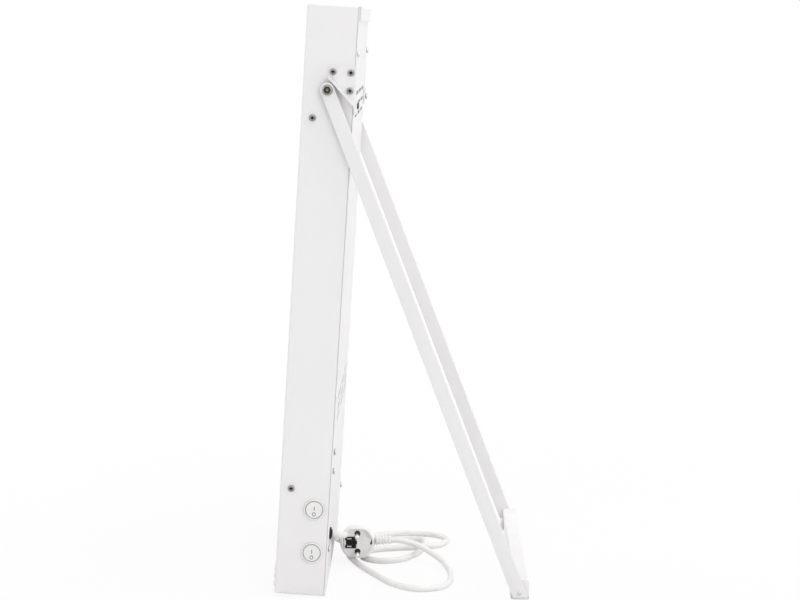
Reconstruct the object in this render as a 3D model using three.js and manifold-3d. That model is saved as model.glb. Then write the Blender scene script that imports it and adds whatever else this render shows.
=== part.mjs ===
// Infrared panel heater: a flat sheet-steel case that leans back on a hinged stand of two legs and a crossbar.
// Millimetres, +Z up. The radiating front faces -Y, the stand is behind at +Y, the switches are on the +X side.
import * as THREE from 'three';
import { mergeVertices } from 'three/addons/utils/BufferGeometryUtils.js';
import Module from 'manifold-3d';

const wasm = await Module();
wasm.setup();

// Sizes that can be set by themselves.
const seatGap = 0.3;            // between two pieces that touch
const cutOverrun = 2;           // every cut runs past its surface by this much
const roundSegments = 16;
const smallRoundSegments = 10;
const bendSegments = 4;
const slotSegments = 2;
const hoodSegments = 8;
const curveSegments = 8;
const hexSides = 6;
const mergeTolerance = 1e-4;

// case: front shell, back panel and their bends
const caseWidth = 300;
const caseHeight = 578;
const caseDepth = 50.5;
const caseLean = 3.6;           // degrees that the case leans back from upright
const sheet = 1.2;
const bendRadius = 2.2;
const backSheet = 1.3;
const backEdgeRadius = 1.1;
const rearLipWidth = 8;
const topLipHeight = 14;
const topLipSheet = 1.2;
const topLipRoundShare = 0.9;

// louvres pressed out of the front sheet near its lower edge
const louvreHeights = [20.2, 12.6, 5];
const louvreLength = 128;
const louvreLand = 18;
const louvreCount = 2;
const louvreRadius = 3.2;
const louvreWall = 0.9;
const louvreRise = 2.2;
const louvreMouthShare = 0.35;

// vent slots of the back panel
const ventLength = 62;
const ventWidth = 4;
const ventPitch = 11;
const ventRows = 3;
const ventColumns = 3;
const ventColumnPitch = 78;
const lowerVentHeight = 168;
const upperVentFromTop = 108;

// feet under the case
const footRadius = 3.5;
const footHeight = 1.4;
const footSoleShare = 0.92;
const footStemRadius = 1.7;
const footStemLength = 4;
const footSideInset = 12;
const frontFootDepth = 9;
const rearFootDepth = 37.3;

// inner tray, insulation and heating mats
const trayDepth = 17.5;
const trayLip = 14.6;
const traySheet = 1;
const trayBottom = 96;
const trayFromTop = 16;
const matThickness = 2;
const matSideMargin = 10;
const matGap = 12;
const matEndMargin = 9;
const matCornerRadius = 6;
const leadHoleRadius = 4;
const leadHoleHeight = 16;

// screws
const sideScrewDepth = 11;
const sideScrewLow = 106.7;
const sideScrewFromTop = 108.4;
const panHeadRadius = 3.7;
const panHeadHeight = 1.9;
const panShankRadius = 1.9;
const panShankLength = 6;
const panCrownShare = 0.7;
const panSideShare = 0.5;
const backScrewInset = 5.2;
const backScrewLow = 47;
const backScrewFromTop = 45;
const backScrewShank = 4;

// round rocker switches
const switchDepth = 34.8;
const switchHeights = [86.9, 43.5];
const switchNames = ['upper', 'lower'];
const bezelRadius = 10.5;
const bezelHeight = 2;
const bezelEdgeShare = 0.33;
const barrelRadius = 9.5;
const barrelLength = 17;
const cavityRadius = 8.8;
const rockerRadius = 8.55;
const rockerValleyDepth = 0.6;  // below the bezel's face
const rockerPivotDepth = 2.6;   // below the bezel's face
const rockerTilt = 7;           // degrees each way from level
const rockerSkirt = 5;
const rockerPinRadius = 1;
const rockerPinGap = 0.1;
const bladeWidth = 4.8;
const bladeThickness = 0.8;
const bladeLength = 8;
const bladeSpacing = 7;

// cord gland, cord and plug
const glandSideInset = 20;
const glandHeight = 59.2;
const glandFlangeRadius = 6.3;
const glandFlange = 1.7;
const glandBodyRadius = 4.8;
const glandSnapRadius = 5.6;
const glandSnap = 2.4;
const glandBodyLength = 9;
const glandMouthRadius = 3.9;
const glandMouthRise = 0.9;
const glandEdgeShare = 0.33;
const cordRadius = 3.2;
const cordSides = 8;
const cordSteps = 74;
const cordStraight = 6;         // of the cord where it leaves the gland and the plug
const plugFaceX = 24;
const plugCentreY = 78.3;
const plugBodyDepth = 24;
const plugRadius = 18.3;
const plugFlatHalf = 16.6;
const plugFloorClearance = 7;
const plugEdge = 1.6;
const plugRimLength = 9.5;
const plugTaper = 4.6;
const plugRimRise = 1.1;
const plugRimWidth = 2.2;
const pinSpacing = 19;
const pinRadius = 2.4;
const pinLength = 19;
const pinSeatDepth = 7;
const pinCollarRadius = 3.3;
const pinCollarRise = 0.8;
const earthBlockWidth = 12.6;
const earthBlockHeight = 12;
const earthBlockOffset = 8.1;
const earthBlockDepth = 6;
const earthBlockEdge = 1;
const earthHoleRadius = 2.5;
const earthHoleDepth = 5;
const clipWidth = 5.5;
const clipThickness = 0.9;
const clipLength = 9;
const clipProud = 0.2;
const reliefOverlap = 0.7;      // the relief's base inside the round of the body
const reliefLength = 17.3;
const reliefX = 11;
const reliefBaseRadius = 6.6;
const reliefTipRadius = 4.6;
const reliefGrooveDepth = 1.2;
const reliefRibs = 5;
const ribFallShare = 0.2;       // of a rib's pitch
const ribClimbShare = 0.2;
const ribChamferShare = 0.4;
const reliefEndShare = 0.9;
const pinTipShares = [[1, 0.6], [0.75, 0.2], [0.4, 0]];  // of the pin's radius: width, distance from its end

// hinge brackets with their diagonal stop lip
const pivotDepth = 24;
const pivotFromTop = 80.7;
const bracketSheet = 1.8;
const bracketAbovePivot = 23.4;
const stopDistance = 8;         // pivot to the face of the stop lip
const stopAngle = 45;           // degrees between the lip and the case
const stopLipRise = 6.6;
const bracketTabTop = -6;
const bracketTabBottom = -22;
const bracketTabWidth = 20;
const bracketHoleRadius = 2.1;
const bracketTopScrewBelow = 6;
const bracketScrewFront = 4.3;
const bracketScrewBack = 5;
const bracketLowScrewDrop = 17.2;
const bracketTabRoundShare = 0.8;

// pivot: rivet nut, washers and bolt
const pivotBoltRadius = 3;
const pivotClearance = 0.1;      // running fit of the leg on its bolt
const innerWasherRadius = 7;
const innerWasher = 1.4;
const outerWasherRadius = 6.2;
const outerWasher = 0.8;
const boltHeadRadius = 5.2;
const boltHeadHeight = 3.1;
const boltCrownShares = [[1, 0.35], [0.86, 0.75], [0.6, 1]];   // of the head's radius and height
const socketRadius = 2.3;
const socketDepth = 2;
const rivetNutRadius = 4.4;
const rivetNutFlangeRadius = 5.8;
const rivetNutFlange = 1.4;
const rivetNutLength = 11;

// stand
const standAngle = 20.68;       // degrees between leg and upright at rest
const legWidth = 13.8;
const legSheet = 3;
const legEyeRadius = 7.2;
const legEdge = 0.5;
const crossbarDepth = 14.7;
const crossbarHeight = 17.1;
const crossbarSheet = 1.5;
const crossbarBendRadius = 1.8;
const crossbarBehindLeg = 1.3;
const rivetHeight = 4.6;
const rivetBehindLeg = -1.2;
const rivetRadius = 1.5;
const rivetHeadRadius = 2.2;
const rivetHeadRise = 0.9;
const rivetCrownShare = 0.7;
const rivetEdgeShare = 0.8;
const padSole = 1.5;
const padLength = 24;
const padRise = 8.5;
const padThickness = 3;
const padEdge = 0.5;
const padShoulder = 1;

// parts inside the case
const cutoutRadius = 8;
const cutoutHeight = 6;
const cutoutFlangeRadius = 10.5;
const cutoutFlange = 1.2;
const cutoutX = 66;
const cutoutZ = 150;
const blockWidth = 22;
const blockHeight = 38;
const blockDepth = 16;
const blockX = 136.5;
const blockZ = 134.4;
const blockEdge = 1;
const blockScrewSpacing = 19.1;
const blockScrewOffset = 4.5;
const terminalScrewShank = 10;
const blockPortRadius = 2.2;
const blockPortDepth = 6;
const blockPortSpacing = 11;
const earthStudX = 84;
const earthStudZ = 70;
const earthStudRadius = 2;
const earthStudLength = 13;
const earthNutRadius = 4;
const earthNutHeight = 3.2;

// derived
const rad = THREE.MathUtils.degToRad;
const halfWidth = caseWidth / 2;
const pivotHeight = caseHeight - pivotFromTop;
const trayTop = caseHeight - trayFromTop;
const upperVentHeight = caseHeight - upperVentFromTop;
const sideScrewHigh = caseHeight - sideScrewFromTop;
const backScrewHeights = [backScrewLow, caseHeight - backScrewFromTop];
const panelFront = caseDepth - backSheet;
const shellRear = panelFront - seatGap;
const backFace = caseDepth;
const topLipRear = backFace + seatGap + topLipSheet;
const innerHalf = halfWidth - sheet;
const sideFace = halfWidth;
const lift = Math.sin(rad(caseLean)) * (rearFootDepth + footRadius) + Math.cos(rad(caseLean)) * footHeight;

const paint = { color: 0xececed, roughness: 0.5, metalness: 0.1 };
const steel = { color: 0xb9bbbd, roughness: 0.32, metalness: 0.9 };
const darkSteel = { color: 0x4b4c50, roughness: 0.4, metalness: 0.8 };
const brass = { color: 0xa8854f, roughness: 0.35, metalness: 0.9 };
const blackPlastic = { color: 0x1c1c1e, roughness: 0.55, metalness: 0 };
const rubber = { color: 0x3b3b3d, roughness: 0.85, metalness: 0 };
const palePlastic = { color: 0xdcd9d8, roughness: 0.45, metalness: 0 };

// Shapes: each returns a closed manifold.
// A closed manifold from a three.js geometry: faces without area are dropped and an inside-out shape is turned.
function solid(geometry) {
  const plain = geometry.index ? geometry.toNonIndexed() : geometry.clone();
  plain.deleteAttribute('normal');
  plain.deleteAttribute('uv');
  const merged = mergeVertices(plain, mergeTolerance);
  const p = merged.attributes.position.array;
  const index = merged.index.array;
  const tris = [];
  let volume = 0;
  for (let i = 0; i < index.length; i += 3) {
    const [a, b, c] = [index[i], index[i + 1], index[i + 2]];
    if (a === b || b === c || c === a) continue;
    tris.push(a, b, c);
    const [ax, ay, az] = [p[3 * a], p[3 * a + 1], p[3 * a + 2]];
    const [bx, by, bz] = [p[3 * b], p[3 * b + 1], p[3 * b + 2]];
    const [cx, cy, cz] = [p[3 * c], p[3 * c + 1], p[3 * c + 2]];
    volume += ax * (by * cz - bz * cy) + ay * (bz * cx - bx * cz) + az * (bx * cy - by * cx);
  }
  if (volume < 0) for (let i = 0; i < tris.length; i += 3) [tris[i + 1], tris[i + 2]] = [tris[i + 2], tris[i + 1]];
  return new wasm.Manifold(new wasm.Mesh({
    numProp: 3, vertProperties: Float32Array.from(p), triVerts: Uint32Array.from(tris),
  }));
}

function geometryOf(body) {
  const mesh = body.getMesh();
  const geometry = new THREE.BufferGeometry();
  const positions = [];
  for (let i = 0; i < mesh.vertProperties.length; i += mesh.numProp) {
    positions.push(mesh.vertProperties[i], mesh.vertProperties[i + 1], mesh.vertProperties[i + 2]);
  }
  geometry.setAttribute('position', new THREE.Float32BufferAttribute(positions, 3));
  geometry.setIndex(Array.from(mesh.triVerts));
  geometry.computeVertexNormals();
  return geometry;
}

const join = (...bodies) => bodies.reduce((a, b) => a.add(b));
const cut = (body, ...tools) => tools.reduce((a, b) => a.subtract(b), body);
const meet = (...bodies) => bodies.reduce((a, b) => a.intersect(b));

// Extrudes an outline of (Y, Z) points along X, of (X, Z) along Y or of (X, Y) along Z.
function extruded(axis, outline, from, to, edge = 0, segments = bendSegments) {
  const geometry = new THREE.ExtrudeGeometry(outline, {
    depth: to - from - 2 * edge, bevelEnabled: edge > 0, bevelThickness: edge, bevelSize: edge,
    bevelOffset: -edge, bevelSegments: 1, curveSegments: segments,
  });
  geometry.translate(0, 0, from + edge);
  const basis = new THREE.Matrix4();
  if (axis === 'x') basis.set(0, 0, 1, 0, 1, 0, 0, 0, 0, 1, 0, 0, 0, 0, 0, 1);
  if (axis === 'y') basis.set(1, 0, 0, 0, 0, 0, 1, 0, 0, 1, 0, 0, 0, 0, 0, 1);
  return solid(geometry.applyMatrix4(basis));
}

function outlineOf(points) {
  return new THREE.Shape(points.map(([u, v]) => new THREE.Vector2(u, v)));
}

// A rectangle whose four corners (lower left, lower right, upper right, upper left) have their own radii.
function roundedBox(u0, v0, u1, v1, radii) {
  const [a, b, c, d] = Array.isArray(radii) ? radii : [radii, radii, radii, radii];
  const shape = new THREE.Shape();
  shape.moveTo(u0 + a, v0);
  shape.lineTo(u1 - b, v0);
  if (b) shape.absarc(u1 - b, v0 + b, b, -Math.PI / 2, 0);
  shape.lineTo(u1, v1 - c);
  if (c) shape.absarc(u1 - c, v1 - c, c, 0, Math.PI / 2);
  shape.lineTo(u0 + d, v1);
  if (d) shape.absarc(u0 + d, v1 - d, d, Math.PI / 2, Math.PI);
  shape.lineTo(u0, v0 + a);
  if (a) shape.absarc(u0 + a, v0 + a, a, Math.PI, Math.PI * 1.5);
  return shape;
}

function block(x0, x1, y0, y1, z0, z1) {
  const geometry = new THREE.BoxGeometry(x1 - x0, y1 - y0, z1 - z0);
  return solid(geometry.translate((x0 + x1) / 2, (y0 + y1) / 2, (z0 + z1) / 2));
}

// Revolves (radius, along) points about an axis through a place; along runs in the axis direction.
function turned(axis, points, [x, y, z], segments = roundSegments) {
  const geometry = new THREE.LatheGeometry(points.map(([r, a]) => new THREE.Vector2(r, a)), segments);
  if (axis === 'x') geometry.rotateZ(-Math.PI / 2);
  if (axis === 'z') geometry.rotateX(Math.PI / 2);
  return solid(geometry.translate(x, y, z));
}

const rod = (axis, radius, from, to, place, segments = roundSegments) =>
  turned(axis, [[0, from], [radius, from], [radius, to], [0, to]], place, segments);

function mirrored(body, side) {
  return side > 0 ? body : solid(geometryOf(body).applyMatrix4(new THREE.Matrix4().makeScale(-1, 1, 1)));
}

// A tube with round section along a list of points.
function tube(points, radius, sides, steps) {
  const path = new THREE.CatmullRomCurve3(points.map(([x, y, z]) => new THREE.Vector3(x, y, z)), false, 'centripetal');
  const section = new THREE.Shape();
  section.absarc(0, 0, radius, 0, Math.PI * 2);
  const ring = new THREE.Shape(section.getPoints(sides).slice(0, sides));
  return solid(new THREE.ExtrudeGeometry(ring, { steps, extrudePath: path, bevelEnabled: false }));
}

// Screw with a pan head; the head's seat is at the place and the head points along the axis.
function panScrew(axis, place, direction, shank = panShankLength) {
  const d = direction;
  const seat = d * seatGap;
  const crown = seat + d * panHeadHeight;
  return turned(axis, [
    [0, -d * shank], [panShankRadius, -d * shank], [panShankRadius, seat], [panHeadRadius, seat],
    [panHeadRadius, seat + d * panHeadHeight * panSideShare], [panHeadRadius * panCrownShare, crown], [0, crown],
  ], place, smallRoundSegments);
}

const root = new THREE.Group();
const casing = new THREE.Group();
casing.rotation.x = -rad(caseLean);
casing.position.z = lift;
root.add(casing);
const loose = new Set();        // the free cord and what is on it

function add(group, name, body, look) {
  const mesh = new THREE.Mesh(geometryOf(body), new THREE.MeshStandardMaterial(look));
  mesh.name = name;
  group.add(mesh);
  return mesh;
}

// The case.
// The front sheet and four sides are one folded shell with a lip turned in along both rear edges.
const r = bendRadius;
const outerShell = meet(
  extruded('y', roundedBox(-halfWidth, 0, halfWidth, caseHeight, r), 0, shellRear),
  extruded('x', roundedBox(0, 0, shellRear, caseHeight, [r, 0, 0, r]), -halfWidth, halfWidth),
  extruded('z', roundedBox(-halfWidth, 0, halfWidth, shellRear, [r, r, 0, 0]), 0, caseHeight),
);
const ri = bendRadius - sheet;
const rearLipFront = shellRear - sheet;
const innerTop = caseHeight - sheet;
const hollow = meet(
  extruded('y', roundedBox(-innerHalf, sheet, innerHalf, innerTop, ri), sheet, rearLipFront),
  extruded('x', roundedBox(sheet, sheet, rearLipFront, innerTop, [ri, 0, 0, ri]), -innerHalf, innerHalf),
  extruded('z', roundedBox(-innerHalf, sheet, innerHalf, rearLipFront, [ri, ri, 0, 0]), sheet, innerTop),
);
const lipInner = innerHalf - rearLipWidth;
const rearOpening = block(-lipInner, lipInner, rearLipFront - cutOverrun / 2, shellRear + cutOverrun, sheet, innerTop);
const hoods = [];
const hoodHollows = [];
const rowWidth = louvreCount * louvreLength + (louvreCount - 1) * louvreLand;
const hoodY = louvreRadius - louvreRise;
function capsule(radius, length, x, z) {
  const half = length / 2 - radius;
  const arc = [0, 1].map((t) => t * Math.PI / 4);
  const profile = [
    ...arc.map((a) => [radius * Math.sin(a), -half - radius * Math.cos(a)]),
    [radius, -half], [radius, half],
    ...arc.toReversed().map((a) => [radius * Math.sin(a), half + radius * Math.cos(a)]),
  ];
  return turned('x', profile, [x, hoodY, z], hoodSegments);
}
for (const z of louvreHeights) {
  for (let i = 0; i < louvreCount; i += 1) {
    const x = -rowWidth / 2 + louvreLength / 2 + i * (louvreLength + louvreLand);
    hoods.push(capsule(louvreRadius, louvreLength, x, z));
    const inner = louvreRadius - louvreWall;
    hoodHollows.push(capsule(inner, louvreLength - 2 * louvreWall, x, z));
    const mouth = louvreRadius * louvreMouthShare;
    const reach = louvreLength / 2 - louvreRadius;
    hoodHollows.push(block(x - reach, x + reach, -louvreRise - cutOverrun, 0, z - louvreRadius - mouth, z - mouth));
  }
}
const frontSlab = block(-halfWidth, halfWidth, -louvreRise - cutOverrun, sheet, 0, caseHeight);
let shell = cut(outerShell, hollow, rearOpening);
shell = cut(join(shell, meet(join(...hoods), frontSlab)), ...hoodHollows);
const topLip = join(
  extruded('x', roundedBox(shellRear - sheet, caseHeight - topLipHeight, topLipRear, caseHeight,
    [0, 0, topLipSheet * topLipRoundShare, 0]), -halfWidth + r, halfWidth - r),
);
const topLipHollow = block(-halfWidth, halfWidth, shellRear - sheet - cutOverrun, backFace + seatGap,
  caseHeight - topLipHeight - cutOverrun, innerTop);
shell = join(shell, cut(topLip, topLipHollow));

const bothSides = [1, -1];
const sideWord = (side) => (side > 0 ? 'right' : 'left');
const shellHoles = [];
for (const z of switchHeights) {
  shellHoles.push(rod('x', barrelRadius + seatGap, innerHalf - cutOverrun, halfWidth + cutOverrun, [0, switchDepth, z]));
}
for (const side of bothSides) {
  const through = side > 0 ? [innerHalf - cutOverrun, halfWidth + cutOverrun]
    : [-halfWidth - cutOverrun, -innerHalf + cutOverrun];
  for (const z of [sideScrewLow, sideScrewHigh]) {
    shellHoles.push(rod('x', panShankRadius + seatGap, ...through, [0, sideScrewDepth, z], smallRoundSegments));
  }
  shellHoles.push(rod('x', rivetNutRadius + seatGap, ...through, [0, pivotDepth, pivotHeight]));
  for (const [y, z] of bracketScrewPlaces()) {
    shellHoles.push(rod('x', panShankRadius + seatGap, ...through, [0, y, z], smallRoundSegments));
  }
  for (const z of backScrewHeights) {
    shellHoles.push(rod('y', panShankRadius + seatGap, rearLipFront - cutOverrun, shellRear + cutOverrun,
      [side * (halfWidth - backScrewInset), 0, z], smallRoundSegments));
  }
  for (const y of [frontFootDepth, rearFootDepth]) {
    shellHoles.push(rod('z', footStemRadius + seatGap, -cutOverrun, sheet + cutOverrun,
      [side * (halfWidth - footSideInset), y, 0], smallRoundSegments));
  }
}
for (const k of bothSides) {
  shellHoles.push(rod('y', panShankRadius + seatGap, rearLipFront - cutOverrun, shellRear + cutOverrun,
    [blockX + blockScrewOffset, 0, blockZ + k * blockScrewSpacing / 2], smallRoundSegments));
}
add(casing, 'front_shell', cut(shell, ...shellHoles), paint);

function bracketScrewPlaces() {
  const top = pivotHeight + bracketAbovePivot - bracketTopScrewBelow;
  return [
    [pivotDepth + bracketScrewFront, top],
    [caseDepth - bracketScrewBack, top],
    [caseDepth - bracketScrewBack, top - bracketLowScrewDrop],
  ];
}
const tabScrewX = halfWidth - bracketTabWidth / 2 - bracketSheet;
const blockScrewX = blockX + blockScrewOffset;
const tabScrewZ = pivotHeight + (bracketTabTop + bracketTabBottom) / 2;

// The back panel closes the case under the shell's top lip.
const panelTop = innerTop - seatGap;
const e = backEdgeRadius;
let panel = extruded('z', roundedBox(-halfWidth, panelFront, halfWidth, backFace, [0, 0, e, e]), 0, panelTop);
const panelHoles = [];
for (let row = 0; row < ventRows; row += 1) {
  for (let column = 0; column < ventColumns; column += 1) {
    const x = (column - (ventColumns - 1) / 2) * ventColumnPitch;
    for (const z0 of [lowerVentHeight, upperVentHeight]) {
      const z = z0 + row * ventPitch;
      const slot = roundedBox(x - ventLength / 2, z, x + ventLength / 2, z + ventWidth, ventWidth / 2);
      panelHoles.push(extruded('y', slot, panelFront - cutOverrun, backFace + cutOverrun, 0, slotSegments));
    }
  }
}
const glandX = halfWidth - glandSideInset;
panelHoles.push(rod('y', glandBodyRadius + seatGap, panelFront - cutOverrun, backFace + cutOverrun, [glandX, 0, glandHeight]));
for (const side of bothSides) {
  for (const z of backScrewHeights) {
    panelHoles.push(rod('y', panShankRadius + seatGap, panelFront - cutOverrun, backFace + cutOverrun,
      [side * (halfWidth - backScrewInset), 0, z], smallRoundSegments));
  }
  panelHoles.push(rod('y', panShankRadius + seatGap, panelFront - cutOverrun, backFace + cutOverrun,
    [side * tabScrewX, 0, tabScrewZ], smallRoundSegments));
}
for (const k of bothSides) {
  panelHoles.push(rod('y', panShankRadius + seatGap, panelFront - cutOverrun, backFace + cutOverrun,
    [blockScrewX, 0, blockZ + k * blockScrewSpacing / 2], smallRoundSegments));
}
panel = cut(panel, ...panelHoles);
add(casing, 'back_panel', panel, paint);

// Feet are rubber buttons pushed into holes of the bottom.
for (const side of bothSides) {
  for (const [word, y] of [['front', frontFootDepth], ['rear', rearFootDepth]]) {
    const foot = turned('z', [
      [0, -footHeight], [footRadius * footSoleShare, -footHeight], [footRadius, -footHeight / 2], [footRadius, -seatGap],
      [footStemRadius, -seatGap], [footStemRadius, footStemLength], [0, footStemLength],
    ], [side * (halfWidth - footSideInset), y, 0], smallRoundSegments);
    add(casing, `case_foot_${word}_${sideWord(side)}`, foot, rubber);
  }
}

// Tray, insulation and heating mats.
const trayHalf = innerHalf - seatGap;
const trayRear = trayDepth + traySheet;
let tray = cut(
  block(-trayHalf, trayHalf, trayRear - trayLip, trayRear, trayBottom, trayTop),
  block(-trayHalf + traySheet, trayHalf - traySheet, -cutOverrun, trayDepth, trayBottom + traySheet, trayTop - traySheet),
);
const trayHoles = [];
for (const side of bothSides) {
  for (const z of [sideScrewLow, sideScrewHigh]) {
    trayHoles.push(rod('x', panShankRadius + seatGap, side * trayHalf - 2 * cutOverrun, side * trayHalf + 2 * cutOverrun,
      [0, sideScrewDepth, z], smallRoundSegments));
  }
  trayHoles.push(rod('y', leadHoleRadius, trayDepth - cutOverrun, trayRear + cutOverrun,
    [side * (trayHalf / 2), 0, trayBottom + leadHoleHeight], smallRoundSegments));
}
tray = cut(tray, ...trayHoles);
add(casing, 'inner_tray', tray, steel);

const boardHalf = sideFace - panShankLength - 2 * seatGap;
const boardBottom = trayBottom + traySheet + seatGap;
const boardTop = trayTop - traySheet - seatGap;
const matFront = sheet + seatGap;
const matRear = matFront + matThickness;
const board = block(-boardHalf, boardHalf, matRear + seatGap, trayDepth - seatGap, boardBottom, boardTop);
add(casing, 'insulation_board', board, { color: 0xd9d4c4, roughness: 0.95, metalness: 0 });
const matHalf = innerHalf - matSideMargin;
const matMiddle = (boardBottom + boardTop) / 2;
for (const [name, z0, z1] of [
  ['heating_mat_lower', boardBottom + matEndMargin, matMiddle - matGap / 2],
  ['heating_mat_upper', matMiddle + matGap / 2, boardTop - matEndMargin],
]) {
  const mat = extruded('y', roundedBox(-matHalf, z0, matHalf, z1, matCornerRadius), matFront, matRear);
  add(casing, name, mat, { color: 0x6a5c4a, roughness: 0.7, metalness: 0 });
}

// Screws of the case.
for (const side of bothSides) {
  for (const [word, z] of [['low', sideScrewLow], ['high', sideScrewHigh]]) {
    const screw = panScrew('x', [side * sideFace, sideScrewDepth, z], side);
    add(casing, `side_screw_${word}_${sideWord(side)}`, screw, steel);
  }
  for (const [word, z] of [['low', backScrewHeights[0]], ['high', backScrewHeights[1]]]) {
    const screw = panScrew('y', [side * (halfWidth - backScrewInset), backFace, z], 1, backScrewShank);
    add(casing, `back_screw_${word}_${sideWord(side)}`, screw, darkSteel);
  }
}

// Switches.
const bezelFace = sideFace + seatGap + bezelHeight;
const rockerX = bezelFace - rockerPivotDepth;
const rockerValley = rockerPivotDepth - rockerValleyDepth;   // above the rocker's own axis
const rockerTiltAngle = rad(rockerTilt);
switchHeights.forEach((z, i) => {
  const place = [0, switchDepth, z];
  const bezelSoft = bezelHeight * bezelEdgeShare;
  const housing = turned('x', [
    [0, sideFace - barrelLength], [barrelRadius, sideFace - barrelLength], [barrelRadius, sideFace + seatGap],
    [bezelRadius, sideFace + seatGap], [bezelRadius, bezelFace - bezelSoft], [bezelRadius - bezelSoft, bezelFace],
    [0, bezelFace],
  ], place);
  const cavityFloor = rockerX - rockerSkirt - Math.sin(rockerTiltAngle) * cavityRadius - seatGap;
  const cavity = rod('x', cavityRadius, cavityFloor, bezelFace + cutOverrun, place);
  const socket = rod('y', rockerPinRadius + rockerPinGap, -barrelRadius - cutOverrun, barrelRadius + cutOverrun,
    [rockerX, switchDepth, z], smallRoundSegments);
  const blades = [-1, 0, 1].map((k) => block(
    sideFace - barrelLength - bladeLength, sideFace - barrelLength + bladeLength / 4,
    switchDepth - bladeWidth / 2, switchDepth + bladeWidth / 2,
    z + k * bladeSpacing - bladeThickness / 2, z + k * bladeSpacing + bladeThickness / 2));
  add(casing, `switch_body_${switchNames[i]}`, join(cut(housing, cavity, socket), ...blades), palePlastic);

  // The rocker is a ball cut by two planes that meet in a shallow valley, with a pin each side.
  const ball = solid(new THREE.SphereGeometry(rockerRadius, roundSegments, roundSegments / 2));
  const rise = rockerValley + rockerRadius * 2 * Math.tan(rockerTiltAngle);
  const keep = extruded('y', outlineOf([
    [-rockerSkirt, -2 * rockerRadius], [rise, -2 * rockerRadius], [rockerValley, 0],
    [rise, 2 * rockerRadius], [-rockerSkirt, 2 * rockerRadius],
  ]), -2 * rockerRadius, 2 * rockerRadius);
  const pins = rod('y', rockerPinRadius, -barrelRadius + seatGap / 3, barrelRadius - seatGap / 3, [0, 0, 0], smallRoundSegments);
  const rocker = add(casing, `switch_rocker_${switchNames[i]}`, join(meet(ball, keep), pins),
    { color: 0xf1f1f0, roughness: 0.35, metalness: 0 });
  rocker.position.set(rockerX, switchDepth, z);
  rocker.rotation.y = rockerTiltAngle;
});

// Cord gland.
const glandEnd = backFace + seatGap + glandFlange;
const glandSoft = glandFlange * glandEdgeShare;
add(casing, 'cable_gland', turned('y', [
  [0, backFace - glandBodyLength], [glandBodyRadius, backFace - glandBodyLength],
  [glandBodyRadius, panelFront - seatGap - glandSnap], [glandSnapRadius, panelFront - seatGap - glandSnap / 2],
  [glandBodyRadius, panelFront - seatGap], [glandBodyRadius, backFace + seatGap],
  [glandFlangeRadius, backFace + seatGap], [glandFlangeRadius, glandEnd - glandSoft],
  [glandFlangeRadius - glandSoft, glandEnd], [glandMouthRadius, glandEnd],
  [glandMouthRadius, glandEnd + glandMouthRise], [0, glandEnd + glandMouthRise],
], [glandX, 0, glandHeight]), blackPlastic);

// Hinge brackets.
const stopDirection = new THREE.Vector2(Math.sin(rad(stopAngle)), -Math.cos(rad(stopAngle)));
const stopNormal = new THREE.Vector2(-stopDirection.y, stopDirection.x);
// Where the stop lip's line, a given distance from the pivot, is at a given depth.
const lipAt = (distance, depth) => pivotHeight
  + (distance - stopNormal.x * (depth - pivotDepth)) / stopNormal.y;
function bracket() {
  const near = sideFace + seatGap;
  const far = near + bracketSheet;
  const top = pivotHeight + bracketAbovePivot;
  const rear = backFace + seatGap;
  const plate = extruded('x', outlineOf([
    [pivotDepth, lipAt(stopDistance, pivotDepth)], [rear, lipAt(stopDistance, rear)], [rear, top], [pivotDepth, top],
  ]), near, far);
  const lip = extruded('x', outlineOf([
    [pivotDepth, lipAt(stopDistance, pivotDepth)], [rear, lipAt(stopDistance, rear)],
    [rear, lipAt(stopDistance + bracketSheet, rear)], [pivotDepth, lipAt(stopDistance + bracketSheet, pivotDepth)],
  ]), near, far + stopLipRise);
  const tabTop = pivotHeight + bracketTabTop;
  const tabBottom = pivotHeight + bracketTabBottom;
  const tab = extruded('z', roundedBox(far - bracketTabWidth - bracketSheet, rear, far, rear + bracketSheet,
    [0, 0, bracketSheet * bracketTabRoundShare, 0]), tabBottom, tabTop);
  const ear = extruded('x', outlineOf([
    [rear - bracketSheet, tabTop], [rear - bracketSheet, lipAt(stopDistance, rear - bracketSheet)],
    [rear, tabBottom], [rear + bracketSheet / 2, tabBottom], [rear + bracketSheet / 2, tabTop],
  ]), near, far);
  const holes = bracketScrewPlaces().map(([y, z]) =>
    rod('x', bracketHoleRadius + seatGap, near - cutOverrun, far + cutOverrun, [0, y, z], smallRoundSegments));
  holes.push(rod('y', bracketHoleRadius + seatGap, rear - cutOverrun, rear + bracketSheet + cutOverrun,
    [tabScrewX, 0, tabScrewZ], smallRoundSegments));
  return cut(join(plate, lip, tab, ear), ...holes);
}
for (const side of bothSides) {
  add(casing, `bracket_${sideWord(side)}`, mirrored(bracket(), side), paint);
  const seat = sideFace + seatGap + bracketSheet;
  bracketScrewPlaces().forEach(([y, z], i) => {
    add(casing, `bracket_screw_${i + 1}_${sideWord(side)}`, panScrew('x', [side * seat, y, z], side), darkSteel);
  });
  const tabScrew = panScrew('y', [side * tabScrewX, backFace + seatGap + bracketSheet, tabScrewZ], 1);
  add(casing, `bracket_screw_back_${sideWord(side)}`, tabScrew, darkSteel);
}

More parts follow.
